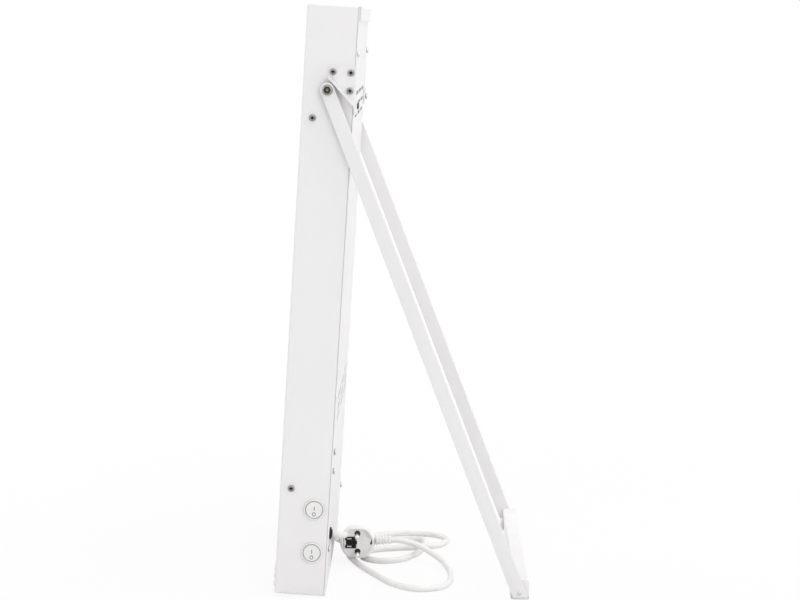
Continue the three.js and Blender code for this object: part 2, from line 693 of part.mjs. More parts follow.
// Pivots.
const innerWasherX = sideFace + rivetNutFlange + 2 * seatGap;
const legX = innerWasherX + innerWasher + seatGap;
const outerWasherX = legX + legSheet + seatGap;
const headSeatX = outerWasherX + outerWasher + seatGap;
for (const side of bothSides) {
  const word = sideWord(side);
  const place = [0, pivotDepth, pivotHeight];
  const nutBore = pivotBoltRadius + seatGap;
  const nutInner = sideFace - rivetNutLength;
  const nut = cut(
    turned('x', [
      [0, nutInner], [rivetNutRadius, nutInner], [rivetNutRadius, sideFace + seatGap],
      [rivetNutFlangeRadius, sideFace + seatGap], [rivetNutFlangeRadius, sideFace + seatGap + rivetNutFlange],
      [0, sideFace + seatGap + rivetNutFlange],
    ], place),
    rod('x', nutBore, nutInner - cutOverrun, sideFace + rivetNutFlange + cutOverrun, place),
  );
  add(casing, `rivet_nut_${word}`, mirrored(nut, side), steel);
  const washer = (radius, from, thickness) => cut(
    rod('x', radius, from, from + thickness, place),
    rod('x', nutBore, from - cutOverrun, from + thickness + cutOverrun, place));
  add(casing, `inner_washer_${word}`, mirrored(washer(innerWasherRadius, innerWasherX, innerWasher), side), blackPlastic);
  add(casing, `outer_washer_${word}`, mirrored(washer(outerWasherRadius, outerWasherX, outerWasher), side), darkSteel);
  const headTop = headSeatX + boltHeadHeight;
  const boltEnd = sideFace - rivetNutLength + cutOverrun;
  const bolt = cut(
    turned('x', [
      [0, boltEnd], [pivotBoltRadius, boltEnd], [pivotBoltRadius, headSeatX], [boltHeadRadius, headSeatX],
      ...boltCrownShares.map(([across, along]) => [boltHeadRadius * across, headSeatX + boltHeadHeight * along]),
      [0, headTop],
    ], place),
    rod('x', socketRadius, headTop - socketDepth, headTop + cutOverrun, place, hexSides),
  );
  add(casing, `pivot_bolt_${word}`, mirrored(bolt, side), brass);
}

// The stand.
const pivotY = Math.cos(rad(caseLean)) * pivotDepth + Math.sin(rad(caseLean)) * pivotHeight;
const pivotZ = lift - Math.sin(rad(caseLean)) * pivotDepth + Math.cos(rad(caseLean)) * pivotHeight;
const stand = new THREE.Group();
stand.position.set(0, pivotY, pivotZ);
stand.rotation.x = rad(standAngle);
root.add(stand);
const legBottom = padSole + seatGap;
const footY = pivotY + Math.tan(rad(standAngle)) * (pivotZ - legBottom);
// From the floor frame to the stand's own frame, which hangs from the pivot.
const inStand = (y, z) => {
  const [dy, dz] = [y - pivotY, z - pivotZ];
  const [c, s] = [Math.cos(rad(standAngle)), Math.sin(rad(standAngle))];
  return [dy * c + dz * s, -dy * s + dz * c];
};
const rivetPlace = inStand(footY + rivetBehindLeg, legBottom + rivetHeight);

function leg() {
  const half = legWidth / 2;
  const shoulder = -Math.sqrt(legEyeRadius ** 2 - half ** 2);
  const bottomAt = (u) => (legBottom - pivotZ - u * Math.sin(rad(standAngle))) / Math.cos(rad(standAngle));
  const start = Math.atan2(shoulder, half);
  const shape = new THREE.Shape();
  shape.moveTo(-half, bottomAt(-half));
  shape.lineTo(half, bottomAt(half));
  shape.lineTo(half, shoulder);
  shape.absarc(0, 0, legEyeRadius, start, Math.PI - start);
  shape.lineTo(-half, bottomAt(-half));
  const bar = extruded('x', shape, legX, legX + legSheet, legEdge, curveSegments);
  return cut(bar,
    rod('x', pivotBoltRadius + pivotClearance, legX - cutOverrun, legX + legSheet + cutOverrun, [0, 0, 0], curveSegments * 2),
    rod('x', rivetRadius + seatGap, legX - cutOverrun, legX + legSheet + cutOverrun, [0, ...rivetPlace], smallRoundSegments));
}
for (const side of bothSides) {
  add(stand, `stand_leg_${sideWord(side)}`, mirrored(leg(), side), paint);
}

// The crossbar is a channel, open below, whose ends are turned down flat against the legs.
const barHalf = legX - seatGap;
const barY = footY + crossbarBehindLeg;
const barFront = barY - crossbarDepth / 2;
const barRear = barY + crossbarDepth / 2;
const barTop = legBottom + crossbarHeight;
const rb = crossbarBendRadius;
const rbi = rb - crossbarSheet;
let bar = cut(
  extruded('x', roundedBox(barFront, legBottom, barRear, barTop, [0, 0, rb, rb]), -barHalf, barHalf),
  extruded('x', roundedBox(barFront + crossbarSheet, legBottom - cutOverrun, barRear - crossbarSheet,
    barTop - crossbarSheet, [0, 0, rbi, rbi]), -barHalf + crossbarSheet, barHalf - crossbarSheet),
);
const floorRivet = [footY + rivetBehindLeg, legBottom + rivetHeight];
for (const side of bothSides) {
  const [a, b] = side > 0 ? [barHalf - crossbarSheet - cutOverrun, barHalf + cutOverrun]
    : [-barHalf - cutOverrun, -barHalf + crossbarSheet + cutOverrun];
  bar = cut(bar, rod('x', rivetRadius + seatGap, a, b, [0, ...floorRivet], smallRoundSegments));
}
add(root, 'stand_crossbar', bar, paint);

for (const side of bothSides) {
  const inner = barHalf - crossbarSheet - seatGap;
  const outer = legX + legSheet + seatGap;
  const rivet = turned('x', [
    [0, inner - rivetHeadRise], [rivetHeadRadius, inner - rivetHeadRise], [rivetHeadRadius, inner],
    [rivetRadius, inner], [rivetRadius, outer], [rivetHeadRadius, outer],
    [rivetHeadRadius * rivetCrownShare, outer + rivetHeadRise * rivetEdgeShare], [0, outer + rivetHeadRise],
  ], [0, ...floorRivet], smallRoundSegments);
  add(root, `crossbar_rivet_${sideWord(side)}`, mirrored(rivet, side), steel);
}

for (const side of bothSides) {
  const outer = legX + legSheet;
  const front = Math.min(barFront, footY - legWidth / 2) - seatGap;
  const sole = extruded('x', roundedBox(barFront - seatGap - padThickness, 0, barRear, padSole, [padEdge, padEdge, 0, 0]),
    barHalf - padLength, barHalf);
  const rise = extruded('x', roundedBox(barFront - seatGap - padThickness, 0, barFront - seatGap, padRise, [padEdge, 0, 0, padShoulder]),
    barHalf - padLength, barHalf - seatGap);
  const underLeg = block(barHalf - seatGap, outer, front, barRear, 0, padSole);
  add(root, `foot_pad_${sideWord(side)}`, mirrored(join(sole, rise, underLeg), side), rubber);
}

// Parts inside the case.
const cutoutBase = trayRear + seatGap;
add(casing, 'thermal_cutout', join(
  turned('y', [
    [0, cutoutBase], [cutoutFlangeRadius, cutoutBase], [cutoutFlangeRadius, cutoutBase + cutoutFlange],
    [cutoutRadius, cutoutBase + cutoutFlange], [cutoutRadius, cutoutBase + cutoutHeight], [0, cutoutBase + cutoutHeight],
  ], [cutoutX, 0, cutoutZ]),
  ...[-1, 1].map((k) => block(cutoutX + k * cutoutRadius / 2 - bladeThickness / 2,
    cutoutX + k * cutoutRadius / 2 + bladeThickness / 2, cutoutBase + cutoutHeight - cutoutFlange,
    cutoutBase + cutoutHeight + bladeLength / 2, cutoutZ - bladeWidth / 2, cutoutZ + bladeWidth / 2)),
), blackPlastic);

const blockRear = rearLipFront - seatGap;
const blockFront = blockRear - blockDepth;
let terminals = extruded('x', roundedBox(blockFront, blockZ - blockHeight / 2, blockRear, blockZ + blockHeight / 2, blockEdge),
  blockX - blockWidth / 2, blockX + blockWidth / 2);
for (const k of [-1, 0, 1]) {
  terminals = cut(terminals, rod('x', blockPortRadius, blockX - blockWidth / 2 - cutOverrun,
    blockX - blockWidth / 2 + blockPortDepth, [0, blockFront + blockDepth / 2, blockZ + k * blockPortSpacing],
    smallRoundSegments));
}
for (const k of bothSides) {
  const z = blockZ + k * blockScrewSpacing / 2;
  terminals = cut(terminals, rod('y', panShankRadius + seatGap, backFace - terminalScrewShank - seatGap, blockRear + cutOverrun,
    [blockScrewX, 0, z], smallRoundSegments));
  const screw = panScrew('y', [blockScrewX, backFace, z], 1, terminalScrewShank);
  add(casing, `terminal_screw_${k > 0 ? 'upper' : 'lower'}`, screw, darkSteel);
}
add(casing, 'terminal_block', terminals, { color: 0xe9e6dc, roughness: 0.5, metalness: 0 });

const nutRear = panelFront - seatGap;
add(casing, 'earth_stud', join(
  rod('y', earthStudRadius, nutRear - earthStudLength, nutRear, [earthStudX, 0, earthStudZ], smallRoundSegments),
  rod('y', earthStudRadius * 2, nutRear - earthStudRadius / 2, nutRear, [earthStudX, 0, earthStudZ], smallRoundSegments),
), brass);
const nutFront = nutRear - earthStudRadius / 2 - seatGap - earthNutHeight;
add(casing, 'earth_nut', cut(
  rod('y', earthNutRadius, nutFront, nutFront + earthNutHeight, [earthStudX, 0, earthStudZ], hexSides),
  rod('y', earthStudRadius + seatGap, nutFront - cutOverrun, nutFront + earthNutHeight + cutOverrun,
    [earthStudX, 0, earthStudZ], smallRoundSegments),
), brass);

// Plug and cord.
const plugBack = plugFaceX - plugBodyDepth;
const plugZ = plugFloorClearance + plugFlatHalf;
const plugShoulder = plugFaceX - plugRimLength;
function plugOutline(radius, flat) {
  const angle = Math.asin(flat / radius);
  const shape = new THREE.Shape();
  shape.absarc(plugCentreY, plugZ, radius, -angle, angle);
  shape.absarc(plugCentreY, plugZ, radius, Math.PI - angle, Math.PI + angle);
  return shape;
}
// The body is a disc with a back that narrows evenly away from it.
const narrowing = extruded('x', plugOutline(plugRadius, plugFlatHalf), 0, plugShoulder - plugBack + plugEdge, 0, curveSegments);
const backShare = 1 - plugTaper / plugRadius;
const tapered = geometryOf(narrowing);
const corner = new THREE.Vector3();
for (let i = 0; i < tapered.attributes.position.count; i += 1) {
  corner.fromBufferAttribute(tapered.attributes.position, i);
  const share = corner.x > 0 ? 1 : backShare;
  tapered.attributes.position.setXYZ(i, corner.x + plugBack,
    plugCentreY + (corner.y - plugCentreY) * share, plugZ + (corner.z - plugZ) * share);
}
let plug = join(
  extruded('x', plugOutline(plugRadius, plugFlatHalf), plugShoulder, plugFaceX, plugEdge, curveSegments),
  solid(tapered),
);
plug = cut(plug, extruded('x', plugOutline(plugRadius - plugRimWidth - plugEdge / 2, plugFlatHalf - plugRimWidth - plugEdge / 2),
  plugFaceX - plugRimRise, plugFaceX + cutOverrun, 0, curveSegments));
const floorX = plugFaceX - plugRimRise;
const reliefStart = plugCentreY + plugRadius - reliefOverlap;
const reliefEnd = reliefStart + reliefLength;
const ribPitch = reliefLength / (reliefRibs * 2 + 1);
const reliefProfile = [[0, plugCentreY], [reliefBaseRadius, plugCentreY], [reliefBaseRadius, reliefStart]];
for (let i = 0; i < reliefRibs; i += 1) {
  const share = (2 * i + 1) / (2 * reliefRibs);
  const radius = reliefBaseRadius + (reliefTipRadius - reliefBaseRadius) * share;
  const a = reliefStart + (2 * i + 1) * ribPitch;
  reliefProfile.push([radius - reliefGrooveDepth, a - ribPitch * (1 - ribFallShare)],
    [radius - reliefGrooveDepth, a], [radius, a + ribPitch * ribClimbShare], [radius, a + ribPitch]);
}
reliefProfile.push([reliefTipRadius, reliefEnd - ribPitch * ribChamferShare],
  [reliefTipRadius * reliefEndShare, reliefEnd], [0, reliefEnd]);
plug = join(plug, turned('y', reliefProfile, [reliefX, 0, plugZ], smallRoundSegments));
const pinPlaces = bothSides.map((k) => [plugCentreY, plugZ + k * pinSpacing / 2]);
for (const [y, z] of pinPlaces) {
  plug = join(plug, rod('x', pinCollarRadius, floorX - pinCollarRise, floorX + pinCollarRise, [0, y, z], smallRoundSegments));
}
for (const [y, z] of pinPlaces) {
  plug = cut(plug, rod('x', pinRadius + seatGap, floorX - pinSeatDepth, plugFaceX + cutOverrun, [0, y, z], smallRoundSegments));
}
const earthY = plugCentreY - earthBlockOffset;
const [ew, eh] = [earthBlockWidth / 2, earthBlockHeight / 2];
plug = cut(plug, block(floorX - earthBlockDepth, plugFaceX + cutOverrun, earthY - ew - seatGap, earthY + ew + seatGap,
  plugZ - eh - seatGap, plugZ + eh + seatGap));
// One bent strip makes both earth contacts: it lies in grooves of the rim and crosses through the body.
function earthStrip(clearance, reach) {
  const outer = plugRadius + clipProud - seatGap + clearance;
  const inner = plugRadius + clipProud - seatGap - clipThickness - clearance;
  const half = clipWidth / 2 + clearance;
  const back = plugFaceX - clipLength;
  const arms = bothSides.map((k) => block(back - clearance, plugFaceX - seatGap + reach,
    plugCentreY + Math.min(k * inner, k * outer), plugCentreY + Math.max(k * inner, k * outer), plugZ - half, plugZ + half));
  return join(...arms, block(back - clearance, back + clipThickness + clearance, plugCentreY - outer, plugCentreY + outer,
    plugZ - half, plugZ + half));
}
plug = cut(plug, earthStrip(seatGap, cutOverrun));
loose.add(add(root, 'plug_body', plug, palePlastic));

pinPlaces.forEach(([y, z], i) => {
  const pin = turned('x', [
    [0, floorX - pinSeatDepth + seatGap], [pinRadius, floorX - pinSeatDepth + seatGap],
    ...pinTipShares.map(([across, back]) => [pinRadius * across, floorX + pinLength - pinRadius * back]),
    [0, floorX + pinLength],
  ], [0, y, z], smallRoundSegments);
  loose.add(add(root, `plug_pin_${i + 1}`, pin, steel));
});

let earthBlock = extruded('x', roundedBox(earthY - ew, plugZ - eh, earthY + ew, plugZ + eh, earthBlockEdge),
  floorX - earthBlockDepth + seatGap, floorX + seatGap);
earthBlock = cut(earthBlock, rod('x', earthHoleRadius, floorX - earthHoleDepth, floorX + cutOverrun,
  [0, earthY, plugZ], smallRoundSegments));
loose.add(add(root, 'plug_earth_socket', earthBlock, blackPlastic));

loose.add(add(root, 'plug_earth_strip', earthStrip(0, 0), darkSteel));

// The cord runs down from the gland past the plug, out in a long bight, back under the plug twice and round to it.
const lean = rad(caseLean);
const fromCase = (y, z) => [Math.cos(lean) * y + Math.sin(lean) * z, lift - Math.sin(lean) * y + Math.cos(lean) * z];
const cordStart = glandEnd + glandMouthRise + seatGap;
const cordRoute = [
  [glandX, ...fromCase(cordStart, glandHeight)],
  [glandX, ...fromCase(cordStart + cordStraight, glandHeight)],
  [121, 68.5, 56.2], [96, 64.5, 49.5], [60, 58.4, 39.4], [20, 56.6, 28], [-18, 58.6, 15.8], [-52, 67.5, 5.6],
  [-80, 85, 3.6], [-96, 112, 3.6], [-97.5, 141, 3.6], [-88.5, 163.5, 3.6], [-67.5, 173, 3.6], [-46, 163.5, 3.6],
  [-36.5, 142, 3.6], [-32.5, 118, 3.6], [-26, 97, 3.6], [-10, 82.5, 3.6], [10, 85, 3.6], [22, 103, 3.8],
  [19, 126, 5.2], [0, 143.5, 8.4], [-31, 149, 11.4], [-56, 138.5, 6.6], [-68, 116, 3.6], [-63, 89, 3.6],
  [-40, 71.5, 3.6], [-6, 68.2, 3.6], [32, 78.5, 3.6], [76, 98, 3.6], [113, 118, 3.6], [130.5, 142, 3.6],
  [122.5, 165.5, 3.6], [98, 174, 3.6], [56, 173.5, 4.2], [25, 162.5, 8.5], [11.5, 140, 18.5],
  [reliefX, reliefEnd + cordStraight, plugZ],
  [reliefX, reliefEnd + seatGap, plugZ],
];
loose.add(add(root, 'power_cord', tube(cordRoute, cordRadius, cordSides, cordSteps),
  { color: 0xe6e4e2, roughness: 0.6, metalness: 0 }));

// Origin.
// The middle of the heater's footprint on the floor; the free cord and its plug don't count.
root.updateMatrixWorld(true);
const box = new THREE.Box3();
root.traverse((node) => {
  if (node.isMesh && !loose.has(node)) box.expandByObject(node, true);
});
const middle = box.getCenter(new THREE.Vector3());
root.position.set(-middle.x, -middle.y, -box.min.z);
root.updateMatrixWorld(true);

export default root;
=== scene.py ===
import math

import bmesh
import bpy
import numpy as np
from mathutils import Matrix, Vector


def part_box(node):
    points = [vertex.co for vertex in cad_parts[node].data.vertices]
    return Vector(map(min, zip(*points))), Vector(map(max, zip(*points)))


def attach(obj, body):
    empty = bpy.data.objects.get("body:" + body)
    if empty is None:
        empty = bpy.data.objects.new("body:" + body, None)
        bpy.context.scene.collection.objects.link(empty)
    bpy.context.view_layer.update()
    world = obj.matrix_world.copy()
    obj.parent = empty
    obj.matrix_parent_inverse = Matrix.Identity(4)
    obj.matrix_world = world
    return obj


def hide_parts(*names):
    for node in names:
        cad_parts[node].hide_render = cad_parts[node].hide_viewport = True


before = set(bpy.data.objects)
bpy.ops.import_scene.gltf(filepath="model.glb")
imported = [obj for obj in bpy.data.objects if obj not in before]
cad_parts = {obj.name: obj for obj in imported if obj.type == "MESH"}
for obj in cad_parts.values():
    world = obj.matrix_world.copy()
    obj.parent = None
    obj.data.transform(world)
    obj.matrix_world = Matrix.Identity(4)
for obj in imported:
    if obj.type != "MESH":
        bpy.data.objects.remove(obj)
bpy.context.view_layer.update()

# The photograph's view: a long lens looks at the heater's switch side from a little below the height of
# its top, turned so that the side plate, the two legs and the far end of the crossbar lie as pictured.
eye = np.array([2.150851, 0.025515, 0.560603])
yaw = math.radians(-0.7416)
pitch = math.radians(7.5281)
film_width = 36.0
picture_width = 800
focal_length_in_pixels = 2085.03
put_in_scene = bpy.context.scene.collection.objects.link


def stood(right, up, back, spot):
    """The matrix that lays a thing's own x, y and z along three directions and puts it at a spot."""
    matrix = np.eye(4)
    matrix[:3] = np.stack([right, up, back, spot], axis=1)
    return Matrix(matrix.tolist())


gaze = np.array([-math.cos(pitch) * math.cos(yaw), math.cos(pitch) * math.sin(yaw), -math.sin(pitch)])
sideways = np.array([math.sin(yaw), math.cos(yaw), 0.0])
long_lens = bpy.data.cameras.new("side view")
long_lens.sensor_fit = "HORIZONTAL"
long_lens.sensor_width = film_width
long_lens.lens = focal_length_in_pixels / picture_width * film_width
long_lens.clip_end = 20.0
camera = bpy.data.objects.new("side view", long_lens)
put_in_scene(camera)
camera.matrix_world = stood(sideways, np.cross(sideways, gaze), -gaze, eye)
bpy.context.scene.camera = camera
bpy.context.scene.view_settings.view_transform = "Standard"

# The mains lead: a round flexible lead with a pale PVC sheath. It leaves the black bush in the back panel,
# drops behind the plug, lies on the floor in two bights that cross, and ends in the plug's ribbed neck.
lean = math.radians(3.6)
case_front = -0.124769
case_rise = 0.003959


def on_case(x, depth, height):
    """A place on the leaning case: turned by the lean about X, then set forward and raised on its feet."""
    return np.array([x, math.cos(lean) * depth + math.sin(lean) * height + case_front,
                     case_rise - math.sin(lean) * depth + math.cos(lean) * height])


def turns(count):
    """Equal angles once round a circle, the last one a step short of the first."""
    return np.linspace(0, 2 * np.pi, count, endpoint=False)


def curve_through(stops, between=14):
    """Centripetal Catmull-Rom curve: on each stretch the two end points and their neighbours give a cubic
    whose knots are spaced by the square root of the distances."""
    ends = np.vstack([2 * stops[0] - stops[1], stops, 2 * stops[-1] - stops[-2]])
    knots = np.sqrt(np.linalg.norm(np.diff(ends, axis=0), axis=1))[:, None]
    k0, k1, k2 = knots[:-2], knots[1:-1], knots[2:]
    a, b, c, d = ends[:-3], ends[1:-2], ends[2:-1], ends[3:]
    out = ((b - a) / k0 - (c - a) / (k0 + k1) + (c - b) / k1) * k1
    into = ((c - b) / k1 - (d - b) / (k1 + k2) + (d - c) / k2) * k1
    t = np.linspace(0, 1, between, endpoint=False)[None, :, None]
    b, c, out, into = b[:, None], c[:, None], out[:, None], into[:, None]
    line = b + out * t + (3 * (c - b) - 2 * out - into) * t ** 2 + (2 * (b - c) + out + into) * t ** 3
    return np.vstack([line.reshape(-1, 3), stops[-1:]])


def skin(name, rings, closed=False):
    """A surface over rings of points: ring i's point j joins its neighbours in ring i and in ring i + 1.
    The first and last ring are filled flat, or joined to each other when the row of rings is closed."""
    n, m = rings.shape[:2]
    i = np.arange(n if closed else n - 1)[:, None]
    j = np.arange(m)[None, :]
    this_ring, next_ring, beside = i * m, ((i + 1) % n) * m, (j + 1) % m
    quads = np.stack([this_ring + j, this_ring + beside, next_ring + beside, next_ring + j], axis=-1)
    faces = quads.reshape(-1, 4).tolist()
    if not closed:
        faces += [list(range(m))[::-1], list(range((n - 1) * m, n * m))]
    mesh = bpy.data.meshes.new(name)
    mesh.from_pydata(rings.reshape(-1, 3).tolist(), [], faces)
    edit = bmesh.new()
    edit.from_mesh(mesh)
    bmesh.ops.recalc_face_normals(edit, faces=edit.faces)
    edit.to_mesh(mesh)
    edit.free()
    return mesh


def place(name, mesh, body, slot, material, *nodes, crease=35):
    """Puts a mesh in the scene as a piece: smooth shading, creased where faces meet at a wide angle."""
    mesh.shade_smooth()
    mesh.set_sharp_from_angle(angle=math.radians(crease))
    piece = bpy.data.objects.new(name, mesh)
    put_in_scene(piece)
    mesh.materials.clear()
    mesh.materials.append(material)
    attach(piece, body)
    if nodes:
        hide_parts(*nodes)
    return piece


def feed(tree, value, socket):
    """Gives a socket its value: a link from another socket, or a plain number, colour or vector."""
    if isinstance(value, bpy.types.NodeSocket):
        tree.links.new(value, socket)
    else:
        socket.default_value = value


def group(name, inputs, outputs):
    """A shader node group with named sockets: inputs are (name, kind, value), outputs the values' names."""
    tree = bpy.data.node_groups.new(name, "ShaderNodeTree")
    for title, kind, value in inputs:
        socket = tree.interface.new_socket(title, in_out="INPUT", socket_type="NodeSocket" + kind)
        if value is not None:
            socket.default_value = value
    for title in outputs:
        tree.interface.new_socket(title, in_out="OUTPUT", socket_type="NodeSocketFloat")
    return tree, tree.nodes.new("NodeGroupInput").outputs, tree.nodes.new("NodeGroupOutput").inputs


def place_group(tree, inner):
    """Puts a node group in a material."""
    node = tree.nodes.new("ShaderNodeGroup")
    node.node_tree = inner
    return node


def own_place(tree):
    """A point's place in Object coordinates, which all pieces of the heater share."""
    return tree.nodes.new("ShaderNodeTexCoord").outputs["Object"]


def mapped(tree, where, kind="POINT", **settings):
    """A place moved, turned or stretched by a Mapping node."""
    node = tree.nodes.new("ShaderNodeMapping")
    node.vector_type = kind
    feed(tree, where, node.inputs["Vector"])
    for title, value in settings.items():
        feed(tree, value, node.inputs[title])
    return node.outputs[0]


def noise(tree, where, scale, detail=3.0, rough=0.5):
    """A noise texture on a place, centred on one half."""
    node = tree.nodes.new("ShaderNodeTexNoise")
    for title, value in (("Vector", where), ("Scale", scale), ("Detail", detail), ("Roughness", rough)):
        feed(tree, value, node.inputs[title])
    return node.outputs["Fac"]


def remap(tree, value, low, high, to_low=0.0, to_high=1.0):
    """Stretches a value's range to another range, clamped at both ends."""
    node = tree.nodes.new("ShaderNodeMapRange")
    for socket, given in zip(node.inputs, (value, low, high, to_low, to_high)):
        feed(tree, given, socket)
    return node.outputs[0]


def maths(tree, kind, a, b):
    """One sum on two values or sockets."""
    node = tree.nodes.new("ShaderNodeMath")
    node.operation = kind
    feed(tree, a, node.inputs[0])
    feed(tree, b, node.inputs[1])
    return node.outputs[0]


def blend_colours(tree, mask, a, b):
    """Mixes two colours, each a socket or a tuple, by a mask."""
    node = tree.nodes.new("ShaderNodeMix")
    node.data_type = "RGBA"
    feed(tree, mask, node.inputs[0])
    for socket, colour in ((node.inputs[6], a), (node.inputs[7], b)):
        feed(tree, colour + (1.0,) if isinstance(colour, tuple) else colour, socket)
    return node.outputs[2]


def new_material(name, inner):
    """A material with a placed skin group. Gives the material, its tree, its shader's inputs, the group."""
    material = bpy.data.materials.new(name)
    material.use_nodes = True
    tree = material.node_tree
    return material, tree, tree.nodes["Principled BSDF"].inputs, place_group(tree, inner)


def relief(tree, height, strength, depth):
    """Lets a height mask bend the shader's normal."""
    bump = tree.nodes.new("ShaderNodeBump")
    for title, value in (("Height", height), ("Strength", strength), ("Distance", depth)):
        feed(tree, value, bump.inputs[title])
    feed(tree, bump.outputs["Normal"], tree.nodes["Principled BSDF"].inputs["Normal"])


def moulded():
    """Moulded plastic's skin: a fine spark-erosion grain, slow mottling from the melt's flow, and scuffs
    where stretched noise passes a threshold."""
    tree, given, give = group("moulded skin", [("Grain per metre", "Float", 1800.0)],
                              ["Height", "Mottle", "Scuff"])
    where = own_place(tree)
    feed(tree, noise(tree, where, given["Grain per metre"], 2.0), give["Height"])
    feed(tree, remap(tree, noise(tree, where, 60.0, 4.0), 0.3, 0.7), give["Mottle"])
    streaked = mapped(tree, where, Scale=(1.0, 0.25, 1.6), Rotation=(0.7, 0.4, 0.2))
    feed(tree, remap(tree, noise(tree, streaked, 420.0, 6.0, 0.65), 0.62, 0.72), give["Scuff"])
    return tree


moulded_skin = moulded()


def plastic(name, pale, dark, rough, worn, grain=1800.0, bump=0.08, depth=0.0001, sheen=0.45):
    """A moulded plastic: two near colours by the mottle, duller where it is scuffed, grain as bump."""
    material, tree, shader, effect = new_material(name, moulded_skin)
    effect.inputs["Grain per metre"].default_value = grain
    mottled = blend_colours(tree, effect.outputs["Mottle"], pale, dark)
    feed(tree, blend_colours(tree, effect.outputs["Scuff"], mottled, worn), shader["Base Color"])
    scuffed = remap(tree, effect.outputs["Scuff"], 0.0, 1.0, 0.0, 0.14)
    uneven = remap(tree, effect.outputs["Mottle"], 0.0, 1.0, rough, rough + 0.07)
    feed(tree, maths(tree, "ADD", scuffed, uneven), shader["Roughness"])
    shader["Specular IOR Level"].default_value = sheen
    relief(tree, effect.outputs["Height"], bump, depth)
    return material


def tube(name, line, radius, sides=20):
    """A round tube: at each point of the line a circle in the plane of two directions square to the line's
    own, one of them as near to upright as it can be."""
    ahead = np.gradient(line, axis=0)
    ahead /= np.linalg.norm(ahead, axis=1)[:, None]
    up = np.array([0, 0, 1.0]) - ahead[:, 2:3] * ahead
    up /= np.linalg.norm(up, axis=1)[:, None]
    side = np.cross(ahead, up)
    angle = turns(sides)[None, :, None]
    circle = np.cos(angle) * side[:, None] + np.sin(angle) * up[:, None]
    return skin(name, line[:, None] + radius * circle)


cord_radius = 0.0032
bush_x = 0.130
bush_height = 0.0592
cord_start_depth = 0.0537
plug_depth = 0.0783 + case_front
plug_height = 0.0236
plug_radius = 0.0183
neck_overlap = 0.0007
neck_length = 0.0173
neck_x = 0.011
neck_end = plug_depth + plug_radius - neck_overlap + neck_length
straight = 0.006
sunk_in_neck = 0.0003
millimetres = 0.001
lying_stops = np.array([
    [121, 68.5, 56.2], [96, 64.5, 49.5], [60, 58.4, 39.4], [20, 56.6, 28], [-18, 58.6, 15.8],
    [-52, 67.5, 5.6], [-80, 85, 3.6], [-96, 112, 3.6], [-97.5, 141, 3.6], [-88.5, 163.5, 3.6],
    [-67.5, 173, 3.6], [-46, 163.5, 3.6], [-36.5, 142, 3.6], [-32.5, 118, 3.6], [-26, 97, 3.6],
    [-10, 82.5, 3.6], [10, 85, 3.6], [22, 103, 3.8], [19, 126, 5.2], [0, 143.5, 8.4], [-31, 149, 11.4],
    [-56, 138.5, 6.6], [-68, 116, 3.6], [-63, 89, 3.6], [-40, 71.5, 3.6], [-6, 68.2, 3.6],
    [32, 78.5, 3.6], [76, 98, 3.6], [113, 118, 3.6], [130.5, 142, 3.6], [122.5, 165.5, 3.6],
    [98, 174, 3.6], [56, 173.5, 4.2], [25, 162.5, 8.5], [11.5, 140, 18.5]]) * millimetres
lying_stops += [0, case_front, 0]
bush_stops = [on_case(bush_x, cord_start_depth + out, bush_height) for out in (0.0, straight)]
neck_stops = [(neck_x, neck_end + out, plug_height) for out in (straight, sunk_in_neck)]
lead_line = curve_through(np.vstack([bush_stops, lying_stops, neck_stops]))
sheath = plastic("lead sheath", (0.84, 0.83, 0.82), (0.805, 0.795, 0.79), rough=0.38,
                 worn=(0.74, 0.73, 0.72), grain=2600.0, bump=0.1)
lead = place("mains_lead", tube("mains_lead", lead_line, cord_radius), "case", "cord_sheath", sheath,
             "power_cord")

# The studio: a pale floor and an even white surround, lit by wide soft lamps. To the camera the floor is
# nearly white under the heater, where it keeps a faint shadow, and fades to plain white around it.
surround_light = 0.47
shadow_radius = 0.25
white_radius = 1.0
whiteness_in_shadow = 0.9
floor_mesh = bpy.data.meshes.new("floor")
floor_mesh.from_pydata([(-6, -6, 0), (6, -6, 0), (6, 6, 0), (-6, 6, 0)], [], [(0, 1, 2, 3)])
floor = bpy.data.objects.new("floor", floor_mesh)
put_in_scene(floor)
floor_paint = bpy.data.materials.new("studio floor")
floor_paint.use_nodes = True
floor_mesh.materials.append(floor_paint)
floor_tree = floor_paint.node_tree
floor_shader = floor_tree.nodes["Principled BSDF"]
floor_shader.inputs["Base Color"].default_value = (0.82, 0.82, 0.82, 1)
floor_shader.inputs["Roughness"].default_value = 0.9
floor_shader.inputs["Specular IOR Level"].default_value = 0.1


def looked_at(tree):
    """One where a ray comes from the camera, a mirror or glass, and nought where it carries light."""
    path = tree.nodes.new("ShaderNodeLightPath")
    direct = maths(tree, "MAXIMUM", path.outputs["Is Camera Ray"], path.outputs["Is Glossy Ray"])
    return maths(tree, "MAXIMUM", direct, path.outputs["Is Transmission Ray"])


def white(tree, kind):
    """The plain white of an emission or background shader."""
    node = tree.nodes.new(kind)
    node.inputs["Color"].default_value = (1, 1, 1, 1)
    node.inputs["Strength"].default_value = 1.0
    return node.outputs[0]


def choose(tree, mask, lit, plain, surface):
    """Shows one shader where the mask is nought and another where it is one."""
    mix = tree.nodes.new("ShaderNodeMixShader")
    for socket, source in zip(mix.inputs, (mask, lit, plain)):
        tree.links.new(source, socket)
    tree.links.new(mix.outputs[0], surface)


def vector_maths(tree, kind, *vectors):
    """One sum on vectors."""
    node = tree.nodes.new("ShaderNodeVectorMath")
    node.operation = kind
    for socket, vector in zip(node.inputs, vectors):
        feed(tree, vector, socket)
    return node.outputs


